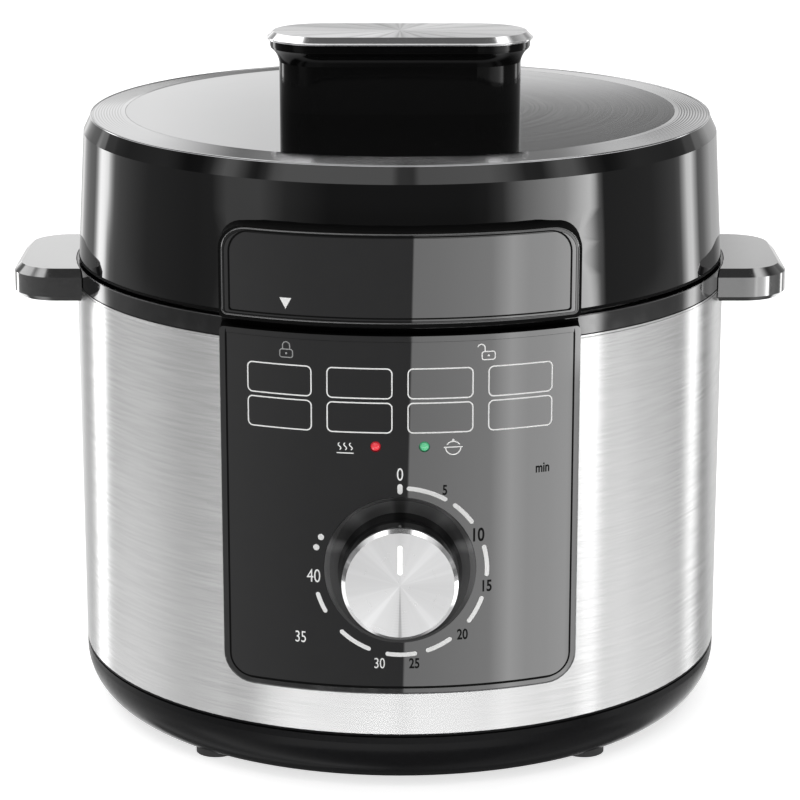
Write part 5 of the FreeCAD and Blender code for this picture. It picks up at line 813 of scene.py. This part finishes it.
class FinishBlacks(bpy.types.Operator):
    """Gloss and satin black mouldings: lid, tab, panel, ring, neck, base, grips"""
    bl_idname = "cooker.finish_blacks"
    bl_label = "Black mouldings"

    def execute(self, context):
        look = context.scene.cooker_finish
        gloss, satin = tuple(look.gloss_black), tuple(look.satin_black)
        plate, neck = (0.008, 0.008, 0.0085), (0.0045, 0.0045, 0.0046)
        give(grooved_gloss("lid_black", gloss), "lid_cover")
        give(polished("ring_black", gloss, 0.07, IOR=1.8), "body_ring")
        for slot, node, roughness in (("panel_gloss", "control_panel", 0.018),
                                      ("tab_gloss", "lid_tab_plate", 0.018),
                                      ("frame_black", "panel_frame", 0.07)):
            give(polished(slot, plate, roughness, 0.0006 * MM, IOR=1.9,
                          Coat_Weight=1.0, Coat_IOR=1.6, Coat_Roughness=0.02), node)
        give(polished("neck_black", neck, 0.06, IOR=1.25), "lid_handle")
        give(polished("rim_black", gloss, 0.08, IOR=1.3), "handle_rim")
        give(spun_dish("dish_black", (0.42, 0.42, 0.424)), "dial_dish")
        give(polished("knob_black", gloss, 0.06, IOR=1.6), "knob_body")
        give(moulded("valve_black", satin, 0.34), "valve_cap")
        give(moulded("base_black", satin, 0.2, 700.0, 0.004 * MM, IOR=1.13),
             "base_shell")
        give(moulded("grip_black", satin, 0.1, 700.0, 0.002 * MM, IOR=2.1,
                     Coat_Weight=1.0, Coat_IOR=2.1, Coat_Roughness=0.06),
             "handle_left", "handle_right")
        give(moulded("bracket_black", satin, 0.4), "cup_bracket")
        give(moulded("inlet_black", satin, 0.38), "power_inlet")
        give(moulded("cutout_black", (0.02, 0.018, 0.016), 0.45), "thermal_cutout")
        give(moulded("foot_rubber", (0.022, 0.022, 0.022), 0.72, 500.0, 0.04 * MM),
             "base_feet")
        return {"FINISHED"}


class FinishSteel(bpy.types.Operator):
    """Brushed shell, the lid's mirror disc, and the plated and sprung steel parts"""
    bl_idname = "cooker.finish_steel"
    bl_label = "Steel parts"

    def execute(self, context):
        steel = tuple(context.scene.cooker_finish.steel)
        give(brushed_shell("shell_steel", steel), "steel_shell")
        give(mirror_disc("disc_steel"), "lid_disc")
        give_metals(STEELS)
        return {"FINISHED"}


class FinishAluminium(bpy.types.Operator):
    """Sunburst silver caps with painted rays of highlight and shade, cast and pressed
    aluminium, and the pot's coating
    """
    bl_idname = "cooker.finish_aluminium"
    bl_label = "Silver and aluminium parts"

    def execute(self, context):
        silver = tuple(context.scene.cooker_finish.silver)
        knob_painted_rays = tuple((at, grey * KNOB_SHADE) for at, grey in KNOB_PAINTED_RAYS)
        give(sunburst("cap_silver", silver, "Z", (0, 0, 0), CAP_PAINTED_RAYS, 0.34, 0.05),
             "handle_cap")
        give(sunburst("knob_silver", silver, "Y", (0, 0, DIAL_HEIGHT), knob_painted_rays),
             "knob_cap")
        give(non_stick("pot_coating"), "inner_pot")
        give_metals(ALUMINIUMS)
        return {"FINISHED"}


class FinishSmallParts(bpy.types.Operator):
    """Lamps, seals, drip cup, timer, ceramic switch, lamp board, wires and inks"""
    bl_idname = "cooker.finish_small_parts"
    bl_label = "Lamps, seals, wiring and inks"

    def execute(self, context):
        look, marks = context.scene.cooker_finish, context.scene.cooker_print
        give(lens("lamp_red", tuple(look.red)), "lamp_heating")
        give(lens("lamp_green", tuple(look.green)), "lamp_warm")
        give(silicone("seal_silicone", (0.72, 0.72, 0.70)),
             "sealing_ring", "float_bush", "float_gasket")
        give(clear_cup("cup_clear"), "condensate_cup")
        give(moulded("timer_white", (0.70, 0.69, 0.64), 0.42),
             "timer_housing", "terminal_block")
        give(moulded("switch_ceramic", (0.74, 0.71, 0.63), 0.5, 500.0, 0.03 * MM),
             "pressure_switch")
        give(circuit_board("board_green"), "lamp_board")
        give(braided("wire_insulation"), "wiring")
        give(printed_ink("panel_ink", tuple(marks.ink)))
        # the pointer's ink glows: a painted highlight
        give(printed_ink("pointer_painted_glow", tuple(marks.ink), 0.3))
        give(printed_ink("dim_ink", tuple(marks.dim_ink)))
        give(printed_ink("dark_ink", tuple(marks.dark_ink)))
        # painted shade: dull black that reflects almost nothing, laid in the gaps and
        # grooves where shade falls
        give(moulded("painted_shade_black", (0.0015, 0.0015, 0.0015), 0.7,
                     Specular_IOR_Level=0.1))
        return {"FINISHED"}


class CoilSpring(bpy.types.Operator):
    """The heater sensor's coil spring, drawn at one length in place of the CAD spring;
    the real one shortens as the sensor is pressed
    """
    bl_idname = "cooker.coil_spring"
    bl_label = "Sensor spring"

    def execute(self, context):
        """The wire's middle line is a helix, (R cos a, R sin a, foot + pitch a)."""
        low, high = (np.array(corner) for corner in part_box("sensor_spring"))
        a = np.linspace(0, 2 * math.pi * SPRING_TURNS, SPRING_STEPS * SPRING_TURNS + 1)
        radius = (high[0] - low[0] - SPRING_WIRE) / 2
        foot, head = low[2] + SPRING_WIRE / 2, high[2] - SPRING_WIRE / 2
        path = np.stack([radius * np.cos(a), radius * np.sin(a),
                         foot + (head - foot) * a / a[-1]], -1)
        coil = piece("sensor_coil", bead(path, SPRING_WIRE / 2, closed=False),
                     "cooker", FINISHES["spring_steel"], True)
        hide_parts("sensor_spring")
        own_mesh(coil)
        return {"FINISHED"}


class EdgeTrim(bpy.types.Operator):
    """Rounded edges of the lid, ring, shell, cap, panel and tab"""
    bl_idname = "cooker.edge_trim"
    bl_label = "Rounded edges"

    def execute(self, context):
        edge = context.scene.cooker_print.edge_radius
        cap = rounded_box(*mm(*CAP_BOX))
        cap = np.column_stack([cap, np.full(len(cap), CAP_EDGE_HEIGHT * MM)])
        panel = rounded_box(*mm(*PANEL_BOX))
        foot = panel[panel[:, 1] < PANEL_EDGE_HEAD * MM]
        foot = foot[np.argsort(foot[:, 0])]
        tab = drawn_in(TAB_OUTLINE, TAB_SIDE, *mm(1.55, 0.75))
        front = FRAME_RADIUS - 0.05 * MM
        for name, path, radius, body, slot, finish in (
                ("lid_edge", ring_path(*mm(*LID_EDGE)), 0.45 * MM, "lid",
                 "lid_black", "disc_steel"),
                ("ring_edge", ring_path(*mm(*RING_EDGE)), 0.27 * MM, "cooker",
                 "ring_black", "ring_black"),
                ("shell_edge", ring_path(*mm(*SHELL_EDGE)), 0.3 * MM, "cooker",
                 "shell_steel", "shell_steel"),
                ("cap_edge", cap, 0.5 * MM, "lid", "cap_silver", "cap_silver"),
                ("panel_edge", onto(foot, front), edge, "cooker", "frame_black",
                 "frame_black"),
                ("tab_edge", onto(tab, front), edge, "lid", "tab_gloss", "tab_gloss")):
            shape = bead(path, radius, closed=name != "panel_edge")
            piece(name, shape, body, FINISHES[finish], True)
        return {"FINISHED"}


class Grooves(bpy.types.Operator):
    """Painted shade: dull black sheets in the gaps under the lid and ring, on the ring
    between panel and tab, round the tab, and round the panel's and tab's plates
    """
    bl_idname = "cooker.grooves"
    bl_label = "Grooves"

    def execute(self, context):
        width = context.scene.cooker_print.groove_shade_width
        raised, sunk = FRAME_RADIUS + THIN, FRAME_RADIUS - THIN

        # painted shade on the ring's face between the panel and the tab
        across = np.linspace(-69.4 * MM, 69.4 * MM, 101)
        low, high = (np.stack([across, np.full(101, z * MM)], -1) for z in (189.6, 191.2))
        lip = [0, 0, 0.25 * MM]
        shell, cover, far = mm(137.4, 137.55, 143.9)
        over_panel = strip(
            onto(low, shell), onto(low, far), onto(low, far) + lip,
            onto(low, cover) + lip, onto(high, cover), onto(high, shell), closed=False)

        # painted shade on the tab's top face, sides and foot, and on the outer strip of
        # its front
        wide = drawn_in(TAB_OUTLINE, -THIN, -THIN, -THIN)
        inner = drawn_in(TAB_OUTLINE, TAB_SIDE, *mm(1.5, 0.7))
        round_tab = strip(onto(TAB_OUTLINE, FRAME_BACK), onto(wide, FRAME_BACK),
                          onto(wide, raised), onto(inner, raised), onto(inner, sunk),
                          onto(TAB_OUTLINE, sunk))

        # painted shade in the groove round the tab's plate
        plate = rounded_box(*mm(*PLATE_BOX))
        inner = drawn_in(plate, width, width, width)
        round_plate = strip(onto(plate, TAB_RADIUS), onto(plate, raised),
                            onto(inner, raised), onto(inner, TAB_RADIUS))

        # painted shade in the groove round the panel's plate, left open along the top
        side, head, corner = PANEL_HIGH.x - width / 2, 188.9 * MM, 8.4 * MM
        middle = PANEL_LOW.z + 0.35 * MM + corner
        left = arc((-side + corner, middle), corner, -90, -180, 16)
        right = arc((side - corner, middle), corner, 180, 90, 16)
        line = spaced(np.vstack([[(-side, head)], left, right, [(side, head)]]), 1.2 * MM)
        flat = np.stack([PANEL_RADIUS * np.arcsin(line[:, 0] / PANEL_RADIUS),
                         line[:, 1]], -1)
        round_panel = wrap(ribbon(flat, width, 0.24 * MM), PANEL_RADIUS)

        for name, shape, body, slot in (
                ("lid_gap", hoop(*mm(*LID_GAP_SHADE)), "lid", "lid_black"),
                ("ring_gap_shade", hoop(*mm(*RING_GAP_SHADE)), "cooker", "ring_black"),
                ("panel_gap_shade", over_panel, "cooker", "frame_black"),
                ("tab_gap_shade", round_tab, "lid", "tab_gloss"),
                ("tab_groove_shade", round_plate, "lid", "tab_gloss"),
                ("panel_groove_shade", round_panel, "cooker", "panel_gloss")):
            piece(name, shape, body, FINISHES["painted_shade_black"])
        return {"FINISHED"}


class PrintProgrammes(bpy.types.Operator):
    """Eight empty outline boxes, two rows of four, above the lamps"""
    bl_idname = "cooker.print_programmes"
    bl_label = "Programme boxes"

    def execute(self, context):
        ink = context.scene.cooker_print
        columns = ((-60.6, -34.5), (-28.2, -3.1), (3.1, 28.2), (34.5, 60.6))
        rows = ((165.2, 177.0), (151.6, 163.4))
        printed("programme_boxes", [
            ribbon(rounded_box(*mm(u0, v0, u1, v1), ink.outline_corner),
                   ink.outline_width, ink.thickness, True)
            for u0, u1 in columns for v0, v1 in rows])
        return {"FINISHED"}


class PrintDial(bpy.types.Operator):
    """Arcs, tick and dots round the dial, one ribbon for each stretch of time"""
    bl_idname = "cooker.print_dial"
    bl_label = "Dial scale"

    def execute(self, context):
        ink = context.scene.cooker_print
        centre = (0.2 * MM, DIAL_HEIGHT - 0.7 * MM)
        spans = ((4, 32), (37, 56), (73, 95), (109, 129), (144, 163), (169, 190),
                 (200, 224), (239, 254))
        parts = [ribbon(arc(centre, ink.scale_radius, a, b), ink.scale_width,
                        ink.thickness) for a, b in spans]
        tick = spaced([mm(0, 127.0), mm(0, 131.1)], 0.1 * MM)
        parts.append(ribbon(tick, 2.0 * MM, ink.thickness))
        parts += [spot(u, v, 1.25, ink.thickness, 36)
                  for u, v in ((-31.0, 108.6), (-32.9, 104.3))]
        printed("dial_scale", parts)
        return {"FINISHED"}


class PrintFigures(bpy.types.Operator):
    """Minutes round the dial, 0 to 40 in fives, and their unit"""
    bl_idname = "cooker.print_figures"
    bl_label = "Dial figures"

    def execute(self, context):
        ink = context.scene.cooker_print
        pale = (("0", 0.0, 135.0, 1.18), ("30", -8.0, 57.6, 1.0),
                ("35", -39.6, 66.9, 1.08), ("40", -34.1, 92.6, 1.25))
        dark = (("5", 17.4, 128.4, 0.95), ("10", 30.9, 109.6, 1.3),
                ("15", 34.4, 88.4, 1.1), ("20", 24.6, 69.0, 1.03),
                ("25", 5.6, 57.6, 1.0), ("min", 57.0, 134.6, 0.88))
        for name, marks, finish, bold in (
                ("dial_figures", pale, "panel_ink", 0.0),
                ("dial_figures_dark", dark, "dark_ink", 0.022)):
            printed(name, [lettering(words, size * ink.figure_height, mm(u, v),
                                     ink.thickness, bold)
                           for words, u, v, size in marks], finish)
        return {"FINISHED"}


class PrintSymbols(bpy.types.Operator):
    """Padlocks, a heat sign and a covered bowl beside the lamps, and a triangle"""
    bl_idname = "cooker.print_symbols"
    bl_label = "Symbols"

    def execute(self, context):
        ink = context.scene.cooker_print
        line, up = ink.symbol_width, ink.thickness

        def stroke(points):
            return ribbon(spaced(np.asarray(points) * MM, 0.25 * MM), line, up)

        for name, u, v, swing, finish in (
                ("closed_padlock", -44.4, 181.55, 0.0, "dim_ink"),
                ("open_padlock", 34.3, 181.35, -2.9, "panel_ink")):
            wide, high, reach, leg = 2.6, 1.6, 1.45, 1.5
            body = rounded_box(*mm(u - wide, v - high, u + wide, v + high, 0.9))
            middle, foot = u + swing, v + high
            bow = np.vstack([[(middle - reach, foot)],
                             arc((middle, foot + leg), reach, -90, 90, 24),
                             [(middle + reach, foot)]])
            printed(name, [ribbon(body, line, up, True), spot(u, v, 0.42, up),
                           stroke(bow if swing == 0 else bow[3:])], finish)

        wave = np.linspace(0, 1, 33)
        heat = [stroke(np.stack([u + 0.55 * np.sin(2 * math.pi * wave),
                                 144.4 + 2.9 * wave], -1)) for u in (-23.4, -21.2, -19.0)]
        printed("panel_symbols", heat + [
            stroke([(-24.6, 143.2), (-17.8, 143.2)]),
            stroke(arc((20.6, 145.6), 3.0, 90, 270, 40)),
            stroke([(16.9, 145.6), (24.3, 145.6)]),
            stroke(arc((20.6, 144.9), 3.0, -58, 58, 30)), spot(20.6, 148.4, 0.45, up)])
        triangle = np.array([(-46.9, 203.4), (-44.5, 199.1), (-42.1, 203.4)]) * MM
        piece("tab_arrow", wrap(patch(triangle, up), TAB_RADIUS), "lid",
              FINISHES["panel_ink"])
        return {"FINISHED"}


class PrintPointer(bpy.types.Operator):
    """The knob's white pointer line, which turns with the knob"""
    bl_idname = "cooker.print_pointer"
    bl_label = "Knob pointer"

    def execute(self, context):
        ink = context.scene.cooker_print
        top = DIAL_HEIGHT + 16.2 * MM
        line = spaced([(0, top - ink.pointer_length), (0, top)], 0.15 * MM)
        shape = ribbon(line, ink.pointer_width, 1.6 * ink.thickness)
        piece("knob_pointer", upright(shape, KNOB_LOW.y), "knob",
              FINISHES["pointer_painted_glow"])
        return {"FINISHED"}


class SetStage(bpy.types.Operator):
    """Floor, soft studio light all round, camera and plain view transform"""
    bl_idname = "cooker.set_stage"
    bl_label = "Studio"

    def execute(self, context):
        """The floor is a level square grid of points (x, y, z), z just below 0."""
        scene, stage = context.scene, context.scene.cooker_stage
        half, side = stage.floor_size / 2, FLOOR_CELLS + 1
        x, y = np.meshgrid(*[np.linspace(-half, half, side)] * 2)
        points = np.stack([x, y, 0 * x - FLOOR_DROP], -1).reshape(-1, 3)
        i = np.add.outer(np.arange(FLOOR_CELLS) * side, np.arange(FLOOR_CELLS)).ravel()
        faces = np.stack([i, i + 1, i + side + 1, i + side], -1).tolist()
        floor = surface("floor", points, faces, floor_finish(tuple(stage.floor)))
        for ray in ("glossy", "diffuse", "shadow", "transmission"):
            setattr(floor, "visible_" + ray, False)
        scene.world = studio_world(stage.light)
        camera = bpy.data.cameras.new("camera")
        camera.sensor_width = 36
        camera.lens = stage.lens
        camera.clip_end = VIEW_END
        holder = bpy.data.objects.new("camera", camera)
        holder.location = (0, -stage.distance, stage.height)
        holder.rotation_euler = (math.pi / 2 - stage.pitch, 0, 0)
        scene.collection.objects.link(holder)
        scene.camera = holder
        scene.view_settings.view_transform = "Standard"
        return {"FINISHED"}


def floor_finish(colour):
    """Pale floor: a diffuse sheet, lifted a little for the camera so that it
    meets the white beyond it, with the cooker's shadow left in. From below it is
    clear, so that the underside can be looked at."""
    material = bpy.data.materials.new("floor_white")
    n = Nodes(material)
    n.tree.nodes.clear()
    seen = n.add("LightPath").outputs["Is Camera Ray"]
    glow = n.add("Emission", None, n.times(seen, FLOOR_LIFT))
    both = n.add("AddShader", n.add("BsdfDiffuse", (*colour, 1)), glow)
    back = n.add("NewGeometry").outputs["Backfacing"]
    n.add("OutputMaterial", n.add("MixShader", back, both, n.add("BsdfTransparent")))
    return material


# The studio by bands of height. Each band has the two heights, in degrees, over
# which it takes over from the one below, and its brightness by compass angle, 0 at
# the front and plus to the right. Some bands share a run of angles.
LEFT_EDGE = ((-173, 0.5), (-167, 0.8), (-161, 1.4), (-157, 0.9), (-153, 0.6),
             (-147, 0.40), (-140.5, 0.40), (-138, 1.2), (-136, 2.8), (-134, 4.2),
             (-131, 4.3))
LEFT_CARD = ((-180, 0.05), *LEFT_EDGE, (-127.5, 3.9), (-126, 2.6), (-124, 1.2),
             (-122, 0.5), (-118, 0.36))
FRONT_LOW = ((-62, 0.22), (-30, 0.16), (1.1, 0.14), (1.4, 0.95), (10, 1.0), (30, 1.2),
             (37, 2.0), (43, 1.7), (50, 1.75))
FRONT_HIGH = ((-69, 0.14), (-63, 0.5), (-50, 0.52), (-40, 0.2), (-25, 0.07),
              (22, 0.07), (30, 0.1), (36, 0.28))
RIGHT_CARD = ((114, 0.3), (117.5, 0.45), (120.5, 1.65), (123.2, 3.1), (126.8, 3.15),
              (129.7, 1.5), (133, 0.40), (137, 0.45), (143, 0.8), (148, 1.03),
              (165, 0.7))
RIGHT_EDGE = ((172, 0.85), (180, 0.85))
STUDIO = (
    (-90, -89, (
        (-180, 0.12), (-142, 0.12), (-131, 1.0), (-115, 0.6), (-97, 0.7), (-93, 2.4),
        (-84, 2.6), (-78, 2.2), (-60, 1.1), (-40, 0.35), (-20, 0.08), (0, 0.05),
        (20, 0.05), (45, 0.1), (60, 0.3), (65, 0.7), (75, 0.7), (82, 0.7), (88, 0.5),
        (125, 0.6), (142, 0.12), (180, 0.12))),
    (-42, -36, (
        (-180, 1.4), (-110, 1.3), (-82, 1.1), (-68, 1.1), (-61, 1.1), (-56, 1.5),
        (-52, 2.2), (-46, 3.1), (-39, 3.8), (-22, 4.0), (-11, 4.2), (0, 4.5), (8, 3.6),
        (17, 3.4), (26, 3.1), (36, 2.5), (45, 1.7), (56, 0.7), (66, 0.4), (76, 0.5),
        (90, 1.35), (110, 1.4), (180, 1.4))),
    (-24, -21.6, (
        (-180, 1.1), (-165, 1.1), (-155, 0.75), (-145, 0.75), (-134, 1.1),
        (-130, 0.95), (-112, 1.25), (-97, 1.25), (-83, 1.0), (-68, 0.65), *FRONT_LOW,
        (57, 1.9), (62, 1.2), (66, 0.4), (73, 0.4), (78, 2.6), (84, 2.4), (94, 1.7),
        (108, 1.3), (121, 0.75), (127, 0.6), (137, 0.3), (143, 0.4), (155, 0.7),
        (180, 0.9))),
    (-14.9, -14.2, (
        (-180, 0.2), *LEFT_EDGE, (-129.5, 3.9), (-128, 2.8), (-126.5, 1.37),
        (-124, 0.55), (-120, 0.36), (-100, 0.26), (-68, 0.19), *FRONT_LOW, (57, 2.0),
        (63, 3.0), (66, 5.0), (71, 5.6), (72.6, 4.0), (75, 1.2), (77, 0.42), (90, 0.4),
        (105, 0.3), *RIGHT_CARD, (180, 0.75))),
    (-9.4, -8.2, (
        *LEFT_CARD, (-100, 0.16), (-76, 0.12), *FRONT_HIGH, (44, 1.4), (52, 2.1),
        (60, 2.8), (66, 4.5), (70, 5.4), (71.8, 3.7), (73.6, 0.95), (75.8, 0.14),
        (100, 0.16), *RIGHT_CARD, *RIGHT_EDGE)),
    (-1.0, 1.0, (
        *LEFT_CARD, (-100, 0.3), (-76, 0.2), *FRONT_HIGH, (44, 0.9), (60, 0.9),
        (71, 0.6), (76, 0.3), *RIGHT_CARD, *RIGHT_EDGE)),
    (5.5, 7.5, (
        (-180, 1.05), (-175, 1.15), (-172, 1.1), (-150, 0.9), (-120, 0.5), (-90, 0.4),
        (90, 0.4), (120, 0.5), (160, 0.65), (174.5, 0.65), (176, 1.15), (180, 1.25))),
    (8.75, 9.35, (
        (-180, 0.85), (-177, 0.92), (-175, 1.12), (-172, 1.1), (-150, 0.45),
        (-134, 0.2), (-60, 0.3), (60, 0.3), (134, 0.3), (150, 0.3), (168, 0.85),
        (173.4, 0.9), (174.2, 0.22), (180, 0.20))),
    (11.6, 12.6, (
        (-180, 0.1), (-179.5, 0.16), (-178.4, 0.21), (-177.4, 0.32), (-176.4, 0.29),
        (-175.7, 0.18), (-174.8, 0.75), (-173.8, 1.12), (-165, 1.0), (-150, 0.3),
        (-117, 0.1), (-60, 0.3), (60, 0.3), (117, 0.12), (150, 0.3), (170, 0.8),
        (173.2, 0.75), (173.5, 0.5), (173.9, 0.87), (174.6, 0.78), (175.3, 0.55),
        (176, 0.21), (176.8, 0.32), (177.9, 0.3), (178.8, 0.07), (180, 0.06))),
    (22.0, 27.0, (
        (-180, 0.5), (-172, 1.7), (-108, 1.7), (-100, 0.09), (-88, 0.03), (-81, 0.05),
        (-77, 0.15), (-74, 0.5), (-70.5, 0.9), (-67, 0.8), (-64.5, 0.55), (-60, 0.15),
        (-57.5, 0.1), (-54, 0.25), (-50.5, 0.7), (-46, 0.88), (-7, 0.85), (-4.5, 0.35),
        (2, 0.3), (5, 0.8), (36, 0.9), (43, 0.65), (50.5, 0.18), (57.5, 0.15),
        (64.5, 0.78), (70.5, 0.8), (77, 0.2), (84, 0.05), (110, 0.1), (150, 0.6),
        (180, 0.6))),
    (46.0, 60.0, ((-180, 1.9), (180, 1.9))),
    (64.0, 68.0, ((-180, 0.1), (180, 0.1))))


def studio_world(level):
    """A soft studio by direction: cards by compass angle in bands of height, then
    an even bright ring, nearly dark straight overhead. The camera sees plain
    white."""
    world = bpy.data.worlds.new("studio")
    n = Nodes(world)
    n.tree.nodes.clear()

    def half(stops, start):
        """The brightness over the half circle that begins at a compass angle."""
        angles, levels = np.array(stops, float).T
        ends = np.interp((start, start + 180), angles, levels)
        inner = [((at - start) / 180, bright) for at, bright in stops
                 if start < at < start + 180]
        return n.ramp(n.maths("MULTIPLY_ADD", turn, 1 / math.pi, -start / 180),
                      [(at, bright / BRIGHTEST) for at, bright in
                       ((0, ends[0]), *inner, (1, ends[1]))])

    def band(stops):
        return n.blend(n.maths("GREATER_THAN", turn, 0.0), half(stops, -180),
                       half(stops, 0))

    way = n.add("TexCoord").outputs["Generated"]
    east, north, up = n.add("SeparateXYZ", way).outputs
    compass = n.maths("ARCTAN2", east, n.times(north, -1.0))
    climb = n.times(n.maths("ARCSINE", up), 180 / math.pi)
    # cards in front lean, most at the middle and not at all half a radian from it
    near = n.maths("MAXIMUM", 0.0, n.maths("MULTIPLY_ADD", n.maths("ABSOLUTE", compass),
                                           -2.0, 1.0))
    lean = n.times(n.maths("MINIMUM", n.maths("ADD", climb, -LEAN_START), LEAN_SPAN),
                   -LEAN * math.pi / 180)
    turn = n.maths("MULTIPLY_ADD", lean, near, compass)
    light = band(STUDIO[0][2])
    for low, high, stops in STUDIO[1:]:
        share = n.between(climb, low, high, interpolation_type="SMOOTHSTEP")
        light = n.blend(share, light, band(stops))
    seen = n.add("LightPath").outputs["Is Camera Ray"]
    n.add("OutputWorld", n.add(
        "MixShader", seen, n.add("Background", light, BRIGHTEST * level),
        n.add("Background", (1, 1, 1, 1), 1.0)))
    return world


class CookerPanel(bpy.types.Panel):
    """Every step of the cooker's finish, in the order in which it runs"""
    bl_idname = "COOKER_PT_finish"
    bl_label = "Pressure cooker"
    bl_space_type = "VIEW_3D"
    bl_region_type = "UI"
    bl_category = "Cooker"

    def draw(self, context):
        for step in STEPS:
            self.layout.operator(step.bl_idname)
        for name, _ in SETTINGS:
            settings = getattr(context.scene, name)
            box = self.layout.box()
            for field in settings.bl_rna.properties:
                if field.identifier not in ("rna_type", "name"):
                    box.prop(settings, field.identifier)


STEPS = (FinishBlacks, FinishSteel, FinishAluminium, FinishSmallParts, CoilSpring,
         EdgeTrim, Grooves, PrintProgrammes, PrintDial, PrintFigures, PrintSymbols,
         PrintPointer, SetStage)
SETTINGS = (("cooker_print", PrintSettings), ("cooker_finish", FinishSettings),
            ("cooker_stage", StageSettings))


def register():
    for name, group in SETTINGS:
        bpy.utils.register_class(group)
        setattr(bpy.types.Scene, name, PointerProperty(type=group))
    for step in STEPS:
        bpy.utils.register_class(step)
    bpy.utils.register_class(CookerPanel)


def unregister():
    bpy.utils.unregister_class(CookerPanel)
    for step in reversed(STEPS):
        bpy.utils.unregister_class(step)
    for name, group in reversed(SETTINGS):
        delattr(bpy.types.Scene, name)
        bpy.utils.unregister_class(group)


def main():
    register()
    for step in STEPS:
        area, name = step.bl_idname.split(".")
        getattr(getattr(bpy.ops, area), name)()


if __name__ == "__main__":
    main()
